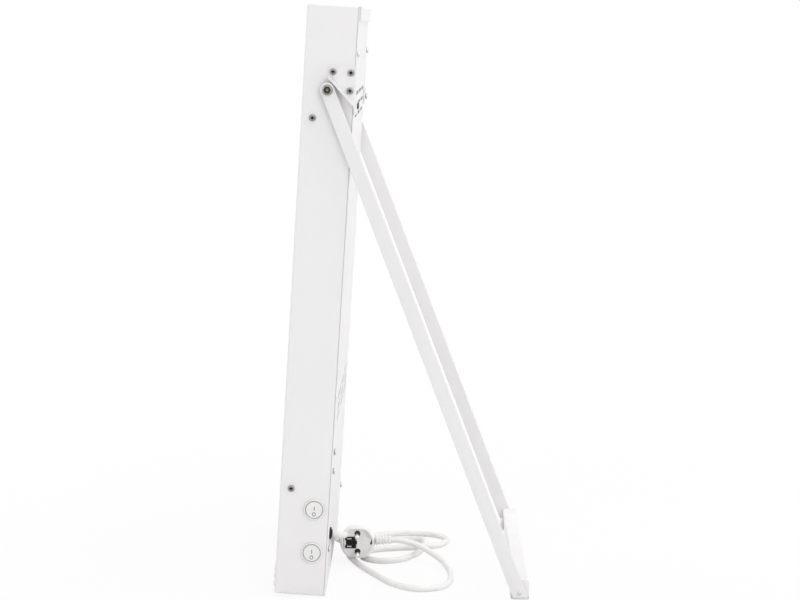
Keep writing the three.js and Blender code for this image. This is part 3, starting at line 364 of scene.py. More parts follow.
far_off = vector_maths(floor_tree, "LENGTH", own_place(floor_tree))["Value"]
bleached = remap(floor_tree, far_off, shadow_radius, white_radius, whiteness_in_shadow, 1.0)
choose(floor_tree, maths(floor_tree, "MULTIPLY", looked_at(floor_tree), bleached), floor_shader.outputs[0],
       white(floor_tree, "ShaderNodeEmission"), floor_tree.nodes["Material Output"].inputs["Surface"])
world = bpy.data.worlds.new("studio")
bpy.context.scene.world = world
world.use_nodes = True
sky = world.node_tree
surround = sky.nodes["Background"]
surround.inputs["Color"].default_value = (1, 1, 1, 1)
surround.inputs["Strength"].default_value = surround_light
choose(sky, looked_at(sky), surround.outputs[0], white(sky, "ShaderNodeBackground"),
       sky.nodes["World Output"].inputs["Surface"])


def lamp(name, spot, aim, size, power):
    """A square area lamp at a spot, turned to face a point."""
    data = bpy.data.lights.new(name, "AREA")
    data.size = size
    data.energy = power
    light = bpy.data.objects.new(name, data)
    put_in_scene(light)
    back = np.array(spot, float) - np.array(aim, float)
    back /= np.linalg.norm(back)
    right = np.cross([0, 0, 1.0], back)
    right /= np.linalg.norm(right)
    light.matrix_world = stood(right, np.cross(back, right), back, spot)


lamp("key", (3.1, 1.6, 2.0), (0, 0, 0.3), 2.6, 36)
lamp("rear", (0.3, 3.2, 1.3), (0, 0, 0.3), 1.8, 30)
lamp("side fill", (2.4, -2.0, 0.8), (0, 0, 0.25), 2.0, 17)
lamp("front", (-1.6, -2.4, 1.6), (0, 0, 0.3), 1.8, 28)
lamp("top", (0.0, 0.4, 3.0), (0, 0, 0), 2.0, 34)

# The case: one steel sheet folded into the radiating front and four sides, with pressed louvres low on the
# front, a lip over the back panel along its top, and the slotted back panel screwed in behind. Its white
# powder coat has a shallow orange peel and a faint fleck, and painted shade darkens it along its edges.
case_half_width = 0.150
case_half_height = 0.289
case_middle_depth = 0.0252
wall_edge_shade = 0.0011
edge_ease = 0.0003


def split_axes(tree, vector):
    """A vector's x, y and z."""
    node = tree.nodes.new("ShaderNodeSeparateXYZ")
    feed(tree, vector, node.inputs[0])
    return node.outputs


def powder():
    """Orange peel from two noises, a cloudy tone, sparse flecks, and grime that grows near the floor."""
    tree, _, give = group("powder coat skin", [], ["Height", "Cloud", "Fleck", "Grime"])
    where = own_place(tree)
    coarse = maths(tree, "MULTIPLY", noise(tree, where, 700.0, 2.0), 0.7)
    fine = maths(tree, "MULTIPLY", noise(tree, where, 2400.0, 2.0), 0.3)
    feed(tree, maths(tree, "ADD", coarse, fine), give["Height"])
    feed(tree, remap(tree, noise(tree, where, 9.0, 4.0, 0.55), 0.3, 0.7), give["Cloud"])
    feed(tree, remap(tree, noise(tree, where, 1500.0, 1.0), 0.74, 0.8), give["Fleck"])
    low = remap(tree, split_axes(tree, where)["Z"], 0.0, 0.12, 1.0, 0.0)
    patchy = remap(tree, noise(tree, where, 55.0, 5.0, 0.6), 0.42, 0.75)
    feed(tree, maths(tree, "MULTIPLY", low, patchy), give["Grime"])
    return tree


def box_edges():
    """How near a point of a box is to one of the box's edges, as a mask for painted edge shade: of its
    three distances to the faces, the middle one is small only there. Noise frays the mask."""
    tree, given, give = group("painted edge shade", [("Place", "Vector", None), ("Half size", "Vector", (1, 1, 1)),
                                            ("Width", "Float", 0.001)], ["Edge"])
    from_middle = vector_maths(tree, "ABSOLUTE", given["Place"])["Vector"]
    to_faces = vector_maths(tree, "SUBTRACT", given["Half size"], from_middle)["Vector"]
    x, y, z = split_axes(tree, to_faces)
    smaller, larger = maths(tree, "MINIMUM", x, y), maths(tree, "MAXIMUM", x, y)
    middle = maths(tree, "MAXIMUM", smaller, maths(tree, "MINIMUM", larger, z))
    fray = remap(tree, noise(tree, given["Place"], 300.0, 4.0), 0.0, 1.0, -0.0006, 0.0006)
    share = maths(tree, "DIVIDE", maths(tree, "ADD", middle, fray), given["Width"])
    feed(tree, remap(tree, share, 0.0, 1.0, 1.0, 0.0), give["Edge"])
    return tree


powder_skin = powder()
edge_shade_group = box_edges()


def powder_coat(name, tilt, centre, half, width, painted_shade_tone=1.0):
    """White powder coat on a box-like sheet part, whose own box is turned by tilt about X and centred. A
    tone below one darkens the whole coat as painted shade.
    """
    material, tree, shader, effect = new_material(name, powder_skin)
    edges = place_group(tree, edge_shade_group)
    boxed = mapped(tree, own_place(tree), "TEXTURE", Location=centre, Rotation=(tilt, 0, 0))
    for title, value in (("Place", boxed), ("Half size", half), ("Width", width)):
        feed(tree, value, edges.inputs[title])
    bright, cloudy = (tuple(share * painted_shade_tone for share in colour)
                      for colour in ((0.848, 0.838, 0.842), (0.826, 0.812, 0.818)))
    coat = blend_colours(tree, effect.outputs["Cloud"], bright, cloudy)
    # The edge mask darkens the coat along the edges as painted shade; flecks and grime belong to the coat.
    for mask, strength, colour in ((edges.outputs["Edge"], 0.25, (0.74, 0.735, 0.74)),
                                   (effect.outputs["Fleck"], 0.35, (0.7, 0.7, 0.7)),
                                   (effect.outputs["Grime"], 0.1, (0.62, 0.60, 0.57))):
        coat = blend_colours(tree, maths(tree, "MULTIPLY", mask, strength), coat, colour)
    feed(tree, coat, shader["Base Color"])
    dull = remap(tree, effect.outputs["Cloud"], 0.0, 1.0, 0.40, 0.46)
    grimy = maths(tree, "MULTIPLY", effect.outputs["Grime"], 0.2)
    feed(tree, maths(tree, "ADD", dull, grimy), shader["Roughness"])
    relief(tree, effect.outputs["Height"], 0.12, 0.0002)
    return material


def merged_copy(name, node):
    """A copy of a solid's faces with its corners merged and its flat fields joined."""
    edit = bmesh.new()
    edit.from_mesh(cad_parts[node].data)
    bmesh.ops.remove_doubles(edit, verts=edit.verts, dist=0.000002)
    bmesh.ops.dissolve_limit(edit, angle_limit=math.radians(0.5), verts=edit.verts, edges=edit.edges)
    mesh = bpy.data.meshes.new(name)
    edit.to_mesh(mesh)
    edit.free()
    return mesh


def sheet_part(name, node, body, coat, crease=35, fold=28):
    """A sheet part: a copy of its solid, with a small bevel on every edge sharper than the fold angle, as
    punching, folding and coating leave it."""
    piece = place(name, merged_copy(name, node), body, "white_enamel", coat, node, crease=crease)
    bevel = piece.modifiers.new("eased edges", "BEVEL")
    bevel.width = edge_ease
    bevel.segments = 2
    bevel.limit_method = "ANGLE"
    bevel.angle_limit = math.radians(fold)


case_middle = tuple(on_case(0, case_middle_depth, case_half_height))
shell_half = (case_half_width, 0.02475, case_half_height)
panel_half = (case_half_width, 0.0253, 0.2885)
shell_coat = powder_coat("case coat", -lean, case_middle, shell_half, wall_edge_shade)
panel_coat = powder_coat("back panel coat", -lean, case_middle, panel_half, wall_edge_shade)
sheet_part("heater_shell", "front_shell", "case", shell_coat, crease=28, fold=40)
sheet_part("slotted_back", "back_panel", "case", panel_coat, crease=28, fold=40)

# The stand: two punched steel legs and a folded channel between their feet, riveted together, in the same
# powder coat. The legs turn on bolts near the case's top.
pivot_depth = 0.024
pivot_height = 0.4973
splay = math.radians(20.68)
pivot_to_leg_middle = 0.265
leg_half = (0.1567, 0.0069, 0.2719)
leg_edge_shade = 0.0006
bar_edge_shade = 0.0007
pivot = on_case(0, pivot_depth, pivot_height)
leg_middle = pivot + pivot_to_leg_middle * np.array([0, math.sin(splay), -math.cos(splay)])
# Both legs get darker copies of the case's coat as painted shade, the far left leg more.
for side, painted_shade_tone in (("right", 0.98), ("left", 0.965)):
    leg_coat = powder_coat(side + " leg coat", splay, tuple(leg_middle), leg_half, leg_edge_shade, painted_shade_tone)
    sheet_part("leg_" + side, "stand_leg_" + side, "stand", leg_coat)
bar_low, bar_high = (np.array(corner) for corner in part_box("stand_crossbar"))
bar_middle = tuple((bar_low + bar_high) / 2)
bar_half = tuple((bar_high - bar_low) / 2)
bar_coat = powder_coat("crossbar coat", 0.0, bar_middle, bar_half, bar_edge_shade, 0.99)
sheet_part("floor_bar", "stand_crossbar", "stand", bar_coat)

# The stop brackets: folded steel plates screwed on beside the pivots, powder coated. A slanting lip on
# each stops the opened leg.
bracket_middle_depth = 0.0385
bracket_middle_height = 0.503
bracket_half = (0.1585, 0.0145, 0.0176)
bracket_edge_shade = 0.0006
bracket_middle = tuple(on_case(0, bracket_middle_depth, bracket_middle_height))
bracket_coat = powder_coat("bracket coat", -lean, bracket_middle, bracket_half, bracket_edge_shade)
for side in ("right", "left"):
    sheet_part("stop_bracket_" + side, "bracket_" + side, "case", bracket_coat)

# The screws: steel pan heads with a pressed cross recess, over drilled holes. Grey plated ones hold the
# shell and the brackets' plates, zinc plated ones the back panel, the terminal block and the left
# bracket's tab, and the right bracket's tab screw is dark plated as painted shade.


def worked():
    """Plated metal's skin: fine scratches from stretched noise, and tarnish that gathers in patches."""
    tree, _, give = group("plated skin", [], ["Scratch", "Tarnish", "Height"])
    where = own_place(tree)
    lines = noise(tree, mapped(tree, where, Scale=(1.0, 0.12, 1.0)), 5200.0, 3.0)
    feed(tree, remap(tree, lines, 0.35, 0.65), give["Scratch"])
    feed(tree, remap(tree, noise(tree, where, 700.0, 5.0, 0.6), 0.45, 0.72), give["Tarnish"])
    feed(tree, lines, give["Height"])
    return tree


plated_skin = worked()


def metal(name, bright, dull, rough):
    """A plated metal: bright colour, dulled by tarnish, scratched in one direction. It turns black by the
    share of painted shade in the piece's own attribute."""
    material, tree, shader, effect = new_material(name, plated_skin)
    shader["Metallic"].default_value = 1.0
    plating = blend_colours(tree, effect.outputs["Tarnish"], bright, dull)
    # Painted shade: a point attribute darkens the plating towards black in recesses and round the feet of
    # heads.
    painted_shade = tree.nodes.new("ShaderNodeAttribute")
    painted_shade.attribute_name = "painted_shade"
    shaded = blend_colours(tree, painted_shade.outputs["Fac"], plating, (0.012, 0.011, 0.01))
    feed(tree, shaded, shader["Base Color"])
    scratched = remap(tree, effect.outputs["Scratch"], 0.0, 1.0, rough, rough + 0.12)
    tarnished = maths(tree, "MULTIPLY", effect.outputs["Tarnish"], 0.12)
    feed(tree, maths(tree, "ADD", scratched, tarnished), shader["Roughness"])
    relief(tree, effect.outputs["Height"], 0.15, 0.00005)
    return material


def shade_in(mesh, values):
    """Gives each point of a piece its own share of painted shade, which darkens the metal's colour."""
    track = mesh.attributes.new("painted_shade", "FLOAT", "POINT")
    track.data.foreach_set("value", np.clip(values, 0, 1).astype(np.float32).reshape(-1))


def axes_on(kind):
    """Three directions for a turned piece on the case: along its axis, and two square to it. The axis
    leads out of the case's right or left side, its back, or its bottom."""
    x = np.array([1.0, 0, 0])
    back = np.array([0, math.cos(lean), -math.sin(lean)])
    up = np.array([0, math.sin(lean), math.cos(lean)])
    return {"right": (x, back, up), "left": (-x, -back, up), "back": (back, -x, up),
            "down": (-up, x, -back)}[kind]


def eased(profile, radius, steps=3):
    """A profile of (radius, along) points with each inner corner replaced by a short curve that leaves and
    meets its two sides at most a given distance from the corner."""
    profile = np.asarray(profile, float)
    corner = profile[1:-1]
    to_last, to_next = profile[:-2] - corner, profile[2:] - corner
    start, stop = (corner + side * np.minimum(radius / np.linalg.norm(side, axis=1)[:, None], 0.45)
                   for side in (to_last, to_next))
    t = np.linspace(0, 1, steps + 1)[None, :, None]
    bend = (1 - t) ** 2 * start[:, None] + 2 * t * (1 - t) * corner[:, None] + t ** 2 * stop[:, None]
    return np.vstack([profile[:1], bend.reshape(-1, 2), profile[-1:]])


def turned_rings(spot, axes, profile, sides, shape=None):
    """Rings of a turned piece: a (radius, along) profile swept about an axis through a spot. A shape
    function of (angle, radius, along) may give each point another radius and along."""
    ahead, u, v = axes
    radius, along = np.asarray(profile, float).T
    angle = turns(sides)[None, :]
    radius, along = np.broadcast_to(radius[:, None], (len(radius), sides)), along[:, None] + 0 * angle
    if shape is not None:
        radius, along = shape(angle, radius, along)
    return (np.asarray(spot, float) + along[..., None] * ahead
            + radius[..., None] * (np.cos(angle)[..., None] * u + np.sin(angle)[..., None] * v))


def pressed_rings(spot, axes, profile, sides, shape):
    """A turned piece's rings with a recess pressed in, and how far each point was pushed."""
    pressed = turned_rings(spot, axes, profile, sides, shape)
    return pressed, np.linalg.norm(pressed - turned_rings(spot, axes, profile, sides), axis=-1)


seat_gap = 0.0003
shank_radius = 0.0019
head_radius = 0.0033
head_height = 0.0019
crown_radius = head_radius * 0.74
recess_arm = 0.00068
recess_reach = 0.0021
recess_depth = 0.0012
black_from_depth = 0.0005
brim_height = seat_gap + head_height * 0.5
crown_height = seat_gap + head_height * 0.93
brim = eased([(shank_radius, -0.001), (shank_radius, seat_gap), (head_radius, seat_gap),
              (head_radius, brim_height), (crown_radius, crown_height)], 0.0005)
crown = np.linspace(crown_radius, 0.00012, 16)
crown_rise = seat_gap + head_height * (0.93 + 0.07 * (1 - (crown / crown_radius) ** 2))
screw_profile = np.vstack([brim, np.stack([crown, crown_rise], axis=1)[1:]])


def cross_recess(angle, radius, along):
    """Sinks the head's face inside a plus sign: the depth falls off from each arm's middle line, and the
    arms end at a given reach from the centre."""
    c, s = np.abs(np.cos(angle)) * radius, np.abs(np.sin(angle)) * radius
    off, out = np.minimum(c, s), np.maximum(c, s)
    inside = (np.clip((recess_arm - off) / (recess_arm * 0.35), 0, 1)
              * np.clip((recess_reach - out) / (recess_reach * 0.25), 0, 1))
    sunk = inside * recess_depth * np.clip(1.15 - out / recess_reach, 0.3, 1)
    on_face = along > (seat_gap + head_height) * 0.55
    return radius, along - np.where(on_face, sunk, 0)


def pan_screw(name, spot, facing, slot, material, node, rim):
    """A pan head: flat seat, round side, crown that closes in rings fine enough to carry the recess.
    Painted shade darkens the recess, and the foot of the head by up to the share given for the rim."""
    rings, sunk = pressed_rings(spot, axes_on(facing), screw_profile, 64, cross_recess)
    mesh = skin(name, rings)
    # Painted shade: the recess turns black below a set depth, and the foot of the head darkens.
    over_foot = screw_profile[:, 1:] - seat_gap
    low_on_head = np.clip((head_height * 0.62 - over_foot) / (head_height * 0.2), 0, rim)
    shade_in(mesh, np.maximum(sunk / black_from_depth, low_on_head))
    place(name, mesh, "case", slot, material, node, crease=40)


zinc = metal("zinc plate", (0.72, 0.725, 0.74), (0.55, 0.555, 0.57), 0.26)
shade_dark_plate = metal("dark plate as painted shade", (0.17, 0.17, 0.18), (0.10, 0.10, 0.11), 0.3)
grey_plate = metal("grey plate", (0.35, 0.345, 0.34), (0.21, 0.207, 0.205), 0.28)
both_sides = (("right", 1), ("left", -1))
rim_painted_shade = 0.35
back_depth = 0.0505
shell_screw_depth = 0.011
panel_screw_x = 0.1448
plate_x = 0.1521
plate_top = pivot_height + 0.0234
plate_screw_top = plate_top - 0.006
plate_screw_pitch = 0.0172
plate_near_depth = 0.0283
plate_far_depth = plate_near_depth + plate_screw_pitch
plate_spots = ((plate_near_depth, plate_screw_top), (plate_far_depth, plate_screw_top),
               (plate_far_depth, plate_screw_top - plate_screw_pitch))
tab_x = 0.1382
tab_depth = 0.0526
tab_height = 0.4833
block_x = 0.141
block_height = 0.1344
block_screw_half_pitch = 0.00955
for side, sign in both_sides:
    for word, height in (("low", 0.1067), ("high", 0.4696)):
        spot = on_case(sign * case_half_width, shell_screw_depth, height)
        pan_screw(f"shell_screw_{word}_{side}", spot, side, "bright_steel", grey_plate,
                  f"side_screw_{word}_{side}", rim_painted_shade)
    # Of the back-panel screws only the low right one gets painted shade round the foot of its head.
    for word, height, rim in (("low", 0.047, rim_painted_shade if sign > 0 else 0.0), ("high", 0.533, 0.0)):
        spot = on_case(sign * panel_screw_x, back_depth, height)
        pan_screw(f"panel_screw_{word}_{side}", spot, "back", "dark_steel", zinc,
                  f"back_screw_{word}_{side}", rim)
    for number, (depth, height) in enumerate(plate_spots, 1):
        spot = on_case(sign * plate_x, depth, height)
        pan_screw(f"plate_screw_{number}_{side}", spot, side, "dark_steel", grey_plate,
                  f"bracket_screw_{number}_{side}", rim_painted_shade)
    # The right tab screw is given dark metal as painted shade; its twin on the left is zinc.
    spot = on_case(sign * tab_x, tab_depth, tab_height)
    pan_screw(f"tab_screw_{side}", spot, "back", "dark_steel", shade_dark_plate if sign > 0 else zinc,
              f"bracket_screw_back_{side}", rim_painted_shade)
for word, sign in (("lower", -1), ("upper", 1)):
    spot = on_case(block_x, back_depth, block_height + sign * block_screw_half_pitch)
    pan_screw(f"block_screw_{word}", spot, "back", "dark_steel", zinc, f"terminal_screw_{word}", rim_painted_shade)

# The pivots: rivet nuts in the case wall, a black nylon washer under the leg, a steel one over it, and a
# brass-coloured button-head bolt with a hexagon socket. Lengths run out from the case's middle plane.
black_mould = plastic("black nylon", (0.008, 0.008, 0.008), (0.012, 0.012, 0.012), rough=0.5,
                      worn=(0.03, 0.03, 0.03), grain=2400.0, bump=0.12, sheen=0.2)
brass_plate = metal("yellow plate", (0.38, 0.36, 0.325), (0.27, 0.25, 0.21), 0.3)


def turned(name, spot, axes, profile, slot, material, *nodes, sides=40, closed=True, crease=35):
    """A turned piece on the case: its profile closes on itself, or else ends in two small flat faces."""
    mesh = skin(name, turned_rings(spot, axes, profile, sides), closed=closed)
    place(name, mesh, "case", slot, material, *nodes, crease=crease)


bolt_bore = 0.0033
insert_profile = eased([(bolt_bore, 0.139), (0.0044, 0.139), (0.0044, 0.1503), (0.0058, 0.1503),
                        (0.0058, 0.1517), (bolt_bore, 0.1517)], 0.0002)


def washer_profile(outer, start, stop):
    """A flat ring's section about the bolt, from start to stop along it."""
    return eased([(bolt_bore, start), (outer, start), (outer, stop), (bolt_bore, stop)], 0.0002)


bolt_radius = 0.003
bolt_end = 0.141
bolt_seat = 0.1581
bolt_rim = bolt_seat + 0.0011
bolt_head_radius = 0.0052
bolt_head_height = 0.0031
dome_radius = 0.0046
dome_roundness = 0.0056
socket_depth = 0.0021
socket_reach = 0.0038
socket_wall = 0.00012
dome = np.linspace(dome_radius, 0.0001, 26)
dome_arc = np.sqrt(np.clip(1 - (dome / dome_roundness) ** 2, 0, 1))
dome_rise = bolt_seat + bolt_head_height * (0.55 + 0.45 * dome_arc)
bolt_side = eased([(bolt_radius, bolt_end), (bolt_radius, bolt_seat), (bolt_head_radius, bolt_seat),
                   (bolt_head_radius, bolt_rim), (dome_radius, dome_rise[0])], 0.0002)
bolt_profile = np.vstack([bolt_side, np.stack([dome, dome_rise], axis=1)[1:]])
off_axis, out = bolt_profile[:, :1], bolt_profile[:, 1:]
# Painted shade in the hexagon socket, lighter at its centre as a painted highlight, and painted shade round
# the head's rim.
socket_shade_and_glint = np.where(off_axis < 0.0012, 0.45, 0.85)
bolt_rim_shade = np.where((out < bolt_seat + 0.0013) | (off_axis > dome_radius), 0.6, 0)


def hex_socket(angle, radius, along):
    """Sinks every point nearer the axis than a hexagon's side; the wall is upright and the floor flat."""
    side = socket_reach * math.cos(math.pi / 6) / np.cos((angle % (math.pi / 3)) - math.pi / 6)
    inner = np.clip((side - radius) / socket_wall, 0, 1)
    return radius, np.where(along > bolt_rim, along - inner * socket_depth, along)


for side in ("right", "left"):
    axes = axes_on(side)
    turned("pivot_insert_" + side, pivot, axes, insert_profile, "bright_steel", zinc, "rivet_nut_" + side)
    turned("slip_washer_" + side, pivot, axes, washer_profile(0.007, 0.1520, 0.1534), "black_plastic",
           black_mould, "inner_washer_" + side)
    turned("steel_washer_" + side, pivot, axes, washer_profile(0.0062, 0.1570, 0.1578), "dark_steel", zinc,
           "outer_washer_" + side)
    rings, sunk = pressed_rings(pivot, axes, bolt_profile, 72, hex_socket)
    bolt_mesh = skin("button_bolt_" + side, rings)
    shade_in(bolt_mesh, np.maximum(sunk / socket_depth * socket_shade_and_glint, bolt_rim_shade))
    place("button_bolt_" + side, bolt_mesh, "case", "brass_metal", brass_plate, "pivot_bolt_" + side)

# Two round rocker switches: a pale bezel snapped into the side wall, a rocker with a shallow valley, a dark
# grey ring round it as painted shade in the gap, and the marks I and O printed on it. Lengths run out from
# the case's middle plane.
switch_white = plastic("switch white", (0.84, 0.835, 0.83), (0.81, 0.805, 0.80), rough=0.28,
                       worn=(0.74, 0.73, 0.72), grain=3000.0, bump=0.04)
bezel_pale = plastic("bezel white", (0.80, 0.79, 0.785), (0.77, 0.76, 0.755), rough=0.34,
                     worn=(0.7, 0.69, 0.68), grain=2600.0, bump=0.06)
well_painted_shade = plastic("painted well shade", (0.17, 0.17, 0.17), (0.21, 0.21, 0.21), rough=0.6,
                    worn=(0.2, 0.2, 0.2), grain=2400.0, bump=0.1)
mark_ink = plastic("mark ink", (0.16, 0.16, 0.165), (0.20, 0.20, 0.20), rough=0.5,
                   worn=(0.32, 0.32, 0.32), grain=3000.0, bump=0.03)
switch_depth = 0.0348
switch_bore = 0.0088
bezel_face = 0.1523
rocker_pin = 0.1497
rocker_radius = 0.0083
rocker_sides = 72
rim_start = 0.0074
rim_width = 0.0010
rim_drop = 0.0006
valley_height = 0.0020
valley_soft = 0.0008
mark_lift = 0.00004
housing_profile = eased([(switch_bore, 0.1445), (0.0095, 0.133), (0.0095, 0.1503), (0.0105, 0.1503),
                         (0.0105, 0.1516), (0.0099, bezel_face), (0.0091, bezel_face),
                         (switch_bore, 0.1519)], 0.0003)
well_profile = eased([(0.0084, 0.1440), (0.00875, 0.1440), (0.00875, 0.1515), (0.0084, 0.1515)], 0.0001)
rock = math.radians(7)
across, behind, above = axes_on("right")
tipped_across = math.cos(rock) * across - math.sin(rock) * above
tipped_above = math.sin(rock) * across + math.cos(rock) * above


def rocker_face(y, z):
    """Height of the rocker's face over its pin: a valley that climbs evenly both ways from a soft bottom,
    eased down to the rim."""
    rim = np.clip((np.hypot(y, z) - rim_start) / rim_width, 0, 1)
    slopes = (np.sqrt(z ** 2 + valley_soft ** 2) - valley_soft) * math.tan(rock)
    return valley_height + slopes - rim_drop * rim ** 2


def on_rocker(pin, x, y, z):
    """Places on a tipped rocker: out from its pin, then back and up along the rocker's own directions."""
    return pin + x[..., None] * tipped_across + y[..., None] * behind + z[..., None] * tipped_above


def printed(name, body, pin, y, z, loop):
    """A mark's strip, laid a hair above the rocker's face: each row of two points joins the next row."""
    spots = on_rocker(pin, rocker_face(y, z) + mark_lift, y, z)
    n = len(spots)
    i = np.arange(n if loop else n - 1)
    after = (i + 1) % n
    faces = np.stack([2 * i, 2 * i + 1, 2 * after + 1, 2 * after], axis=-1)
    mark = bpy.data.meshes.new(name)
    mark.from_pydata(spots.reshape(-1, 3).tolist(), [], faces.tolist())
    place(name, mark, body, "black_plastic", mark_ink)


face_radii = np.concatenate([np.linspace(0.0001, rim_start, 14), np.linspace(0.0076, rocker_radius, 8)])
skirt_radii = rocker_radius * np.sqrt(1 - np.array([0, 0.02, 0.06, 0.14, 0.30]))
skirt_drops = np.array([0.0005, 0.0015, 0.0025, 0.0035, 0.005])
rocker_radii = np.concatenate([face_radii, skirt_radii])[:, None]
rocker_y = rocker_radii * np.cos(turns(rocker_sides))
rocker_z = rocker_radii * np.sin(turns(rocker_sides))
rocker_x = rocker_face(rocker_y, rocker_z)
rocker_x[len(face_radii):] = -skirt_drops[:, None]
mark_turn = turns(40)[:, None]
o_y = np.array([0.00110, 0.00180]) * np.cos(mark_turn)
o_z = np.array([0.00135, 0.00205]) * np.sin(mark_turn) - 0.0042
i_z, i_y = np.meshgrid(np.linspace(-0.0004, 0.0036, 12), [-0.0004, 0.0004], indexing="ij")
for word, height in (("upper", 0.0869), ("lower", 0.0435)):
    spot = on_case(0, switch_depth, height)
    turned("switch_housing_" + word, spot, axes_on("right"), housing_profile, "pale_plastic", bezel_pale,
           "switch_body_" + word, sides=rocker_sides, crease=50)
    # A dark grey ring in the gap round the rocker: painted shade.
    turned("switch_shade_ring_" + word, spot, axes_on("right"), well_profile, "pale_plastic", well_painted_shade,
           "switch_body_" + word, sides=rocker_sides)
    pin = spot + rocker_pin * across
    rocker = "rocker_" + word
    place(rocker, skin(rocker, on_rocker(pin, rocker_x, rocker_y, rocker_z)), rocker, "white_plastic",
          switch_white, "switch_rocker_" + word, crease=60)
    printed("mark_o_" + word, rocker, pin, o_y, o_z, loop=True)
    printed("mark_i_" + word, rocker, pin, i_y, i_z, loop=False)

# The cord bush: a black nylon bush snapped into the back panel, which grips the lead where it leaves.
cord_bore = 0.0034
bush_end = 0.0534
bush_profile = eased([(cord_bore, 0.0415), (0.0048, 0.0415), (0.0048, 0.0508), (0.0063, 0.0508),
                      (0.0063, 0.0516), (0.0055, 0.0525), (0.0039, 0.0525), (0.0039, bush_end),
                      (cord_bore, bush_end)], 0.0003)
turned("cord_bush", on_case(bush_x, 0, bush_height), axes_on("back"), bush_profile, "black_plastic",
       black_mould, "cable_gland", sides=48)

# Feet: round push-in buttons of pale grey rubber under the case, and rubber angle pads that the crossbar
# stands on, with the dull zinc rivets that join bar and legs.
rubber = plastic("grey rubber", (0.82, 0.82, 0.82), (0.77, 0.77, 0.77), rough=0.7,
                 worn=(0.86, 0.855, 0.85), grain=1500.0, bump=0.35, depth=0.0002, sheen=0.3)
dull_zinc = metal("dull zinc", (0.62, 0.62, 0.63), (0.52, 0.52, 0.53), 0.5)
foot_x = 0.138
sole = 0.0014
foot_profile = eased([(0.0001, -0.004), (0.0017, -0.004), (0.0017, seat_gap), (0.0035, seat_gap),
                      (0.0034, 0.0011), (0.0030, sole), (0.0001, sole)], 0.0004)
for side, sign in both_sides:
    for word, depth in (("front", 0.009), ("rear", 0.0373)):
        turned(f"foot_{word}_{side}", on_case(sign * foot_x, depth, 0), axes_on("down"), foot_profile,
               "black_rubber", rubber, f"case_foot_{word}_{side}", sides=32, closed=False)
    pad, rivet = "foot_pad_" + side, "crossbar_rivet_" + side
    place("floor_pad_" + side, merged_copy("floor_pad_" + side, pad), "stand", "black_rubber", rubber, pad)
    place("bar_rivet_" + side, merged_copy("bar_rivet_" + side, rivet), "stand", "bright_steel", dull_zinc,
          rivet)

# The plug: a moulded pale body with a ribbed neck, two nickel-plated pins in black sleeves, a black earth
# socket and the earth strip at its side. Lengths on it run along the pins, from the part's middle plane.
plug_pale = plastic("plug moulding", (0.88, 0.865, 0.86), (0.85, 0.835, 0.83), rough=0.42,
                    worn=(0.74, 0.72, 0.71), grain=1700.0, bump=0.1)
nickel = metal("nickel plate", (0.74, 0.74, 0.75), (0.6, 0.6, 0.61), 0.2)
body = place("plug_moulding", merged_copy("plug_moulding", "plug_body"), "case", "pale_plastic", plug_pale,
             "plug_body", crease=30)


def on_plug(x, across, up):
    """A place on the plug: x along its pins, and across and up from the middle of its face."""
    return np.stack(np.broadcast_arrays(x, across + plug_depth, up + plug_height), axis=-1)


def rounded_frame(across, up, half_wide, half_high, corner, points=48):
    """A rounded rectangle's outline: each direction of a circle is pushed out to a corner's own circle, so
    that equal angles give equal point numbers on outlines of any size."""
    turn = turns(points) + np.pi / points
    c, s = np.cos(turn), np.sin(turn)
    return (across + np.sign(c) * (half_wide - corner) + corner * c,
            up + np.sign(s) * (half_high - corner) + corner * s)


def plug_part(name, slot, material, nodes, *stages, closed=False):
    """A piece on the plug's face from outlines, each at its own x."""
    mesh = skin(name, np.stack([on_plug(x, *outline) for x, outline in stages]), closed=closed)
    place(name, mesh, "case", slot, material, *nodes)


pin_foot = 0.0244
pin_half_pitch = 0.0095
pin_radius = 0.00228
pin_length = 0.0175
sleeve_radius = 0.0024
sleeve_end = 0.0105
earth_height = -0.0002
seat_base = 0.0180
plug_face = 0.0229
bar_base = 0.0226
bar_face = 0.0234
core_face = 0.0232
rib_pitch = 0.0014
sleeve_profile = eased([(0.0001, -0.006), (0.0023, -0.006), (0.0023, -0.0013), (0.0031, -0.0013),
                        (0.0031, -0.0004), (sleeve_radius, -0.0004), (sleeve_radius, sleeve_end),
                        (0.0001, sleeve_end)], 0.0002)
tip_profile = eased([(0.0001, sleeve_end), (pin_radius, sleeve_end), (pin_radius, 0.0155),
                     (0.0021, 0.0165), (0.0016, 0.0171), (0.0009, 0.01745), (0.0001, pin_length)], 0.0003)
pin_axes = np.eye(3)
for number, sign in ((1, 1), (2, -1)):
    foot = (pin_foot, plug_depth, plug_height + sign * pin_half_pitch)
    turned(f"pin_sleeve_{number}", foot, pin_axes, sleeve_profile, "black_plastic", black_mould,
           f"plug_pin_{number}", closed=False)
    turned(f"contact_pin_{number}", foot, pin_axes, tip_profile, "bright_steel", nickel,
           f"plug_pin_{number}", closed=False)
earth = ("plug_earth_socket",)
seat_outline = rounded_frame(-0.0081, 0, 0.0061, 0.0059, 0.0006)
plug_part("earth_seat", "pale_plastic", plug_pale, earth, (seat_base, seat_outline),
          (plug_face, seat_outline))
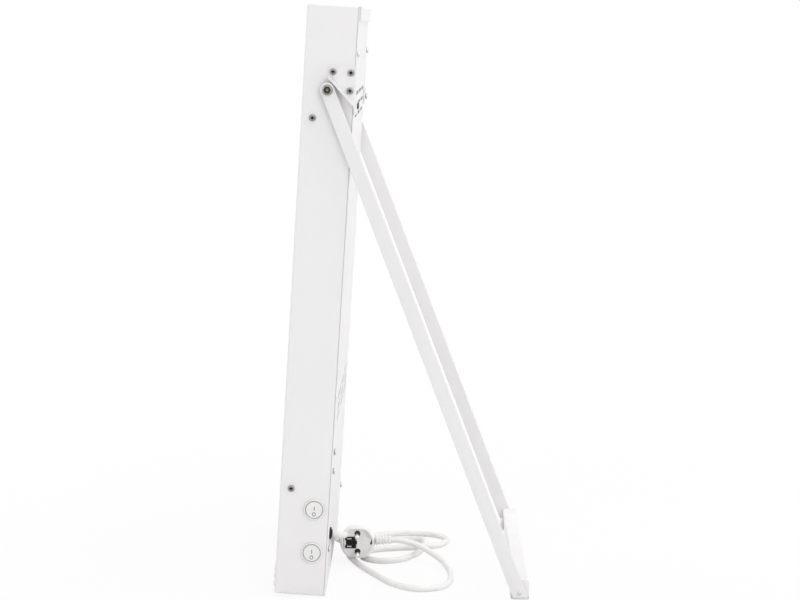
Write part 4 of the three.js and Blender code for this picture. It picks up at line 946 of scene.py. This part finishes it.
for word, up in (("upper", 0.0039), ("lower", -0.0043)):
    bar = rounded_frame(-0.0073, up, 0.0058, 0.0019, 0.0012)
    slit = rounded_frame(-0.0086, up, 0.0025, 0.00065, 0.0005)
    plug_part("earth_bar_" + word, "black_plastic", black_mould, earth, (bar_base, bar), (bar_face, bar),
              (bar_face, slit), (bar_base, slit), closed=True)
core = rounded_frame(-0.0063, earth_height, 0.0058, 0.0021, 0.0006)
bore = rounded_frame(-0.0085, earth_height, 0.0014, 0.0014, 0.0014)
plug_part("earth_core", "black_plastic", black_mould, earth, (0.0224, core), (core_face, core),
          (core_face, bore), (0.02293, bore))
for number in range(3):
    rib = rounded_frame(-0.0049 + number * rib_pitch, earth_height, 0.00035, 0.0018, 0.0002)
    plug_part(f"earth_rib_{number + 1}", "black_plastic", black_mould, earth, (0.0230, rib), (0.0235, rib))
# A black wedge on the plug's face where a slot's shade falls: painted shade.
wedge = (np.array([0.0146, 0.0153, 0.0155, 0.0127, 0.0134]),
         np.array([0.0033, 0.0033, -0.0022, -0.0022, -0.0008]))
plug_part("face_slot_shade", "black_plastic", black_mould, (), (0.0222, wedge), (0.02305, wedge))
place("earth_clips", merged_copy("earth_clips", "plug_earth_strip"), "case", "dark_steel", zinc,
      "plug_earth_strip")

# Inside the case: the zinc-coated tray, the fibre board, two heating mats, and the wiring parts. They are
# the solids themselves, each in its own material.
tray_zinc = metal("galvanised tray", (0.58, 0.59, 0.6), (0.45, 0.46, 0.47), 0.35)
board_fibre = plastic("fibre board", (0.72, 0.68, 0.58), (0.66, 0.62, 0.52), rough=0.9,
                      worn=(0.6, 0.57, 0.5), grain=900.0, bump=0.5, depth=0.0005, sheen=0.1)
mat_resin = plastic("mat laminate", (0.16, 0.11, 0.07), (0.13, 0.09, 0.06), rough=0.5,
                    worn=(0.2, 0.15, 0.1), grain=1200.0, bump=0.2)
block_cream = plastic("terminal block", (0.80, 0.78, 0.70), (0.77, 0.75, 0.67), rough=0.4,
                      worn=(0.7, 0.68, 0.6))
for node, material in (("inner_tray", tray_zinc), ("insulation_board", board_fibre),
                       ("heating_mat_lower", mat_resin), ("heating_mat_upper", mat_resin),
                       ("thermal_cutout", black_mould), ("terminal_block", block_cream),
                       ("earth_stud", brass_plate), ("earth_nut", brass_plate)):
    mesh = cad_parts[node].data
    mesh.materials.clear()
    mesh.materials.append(material)
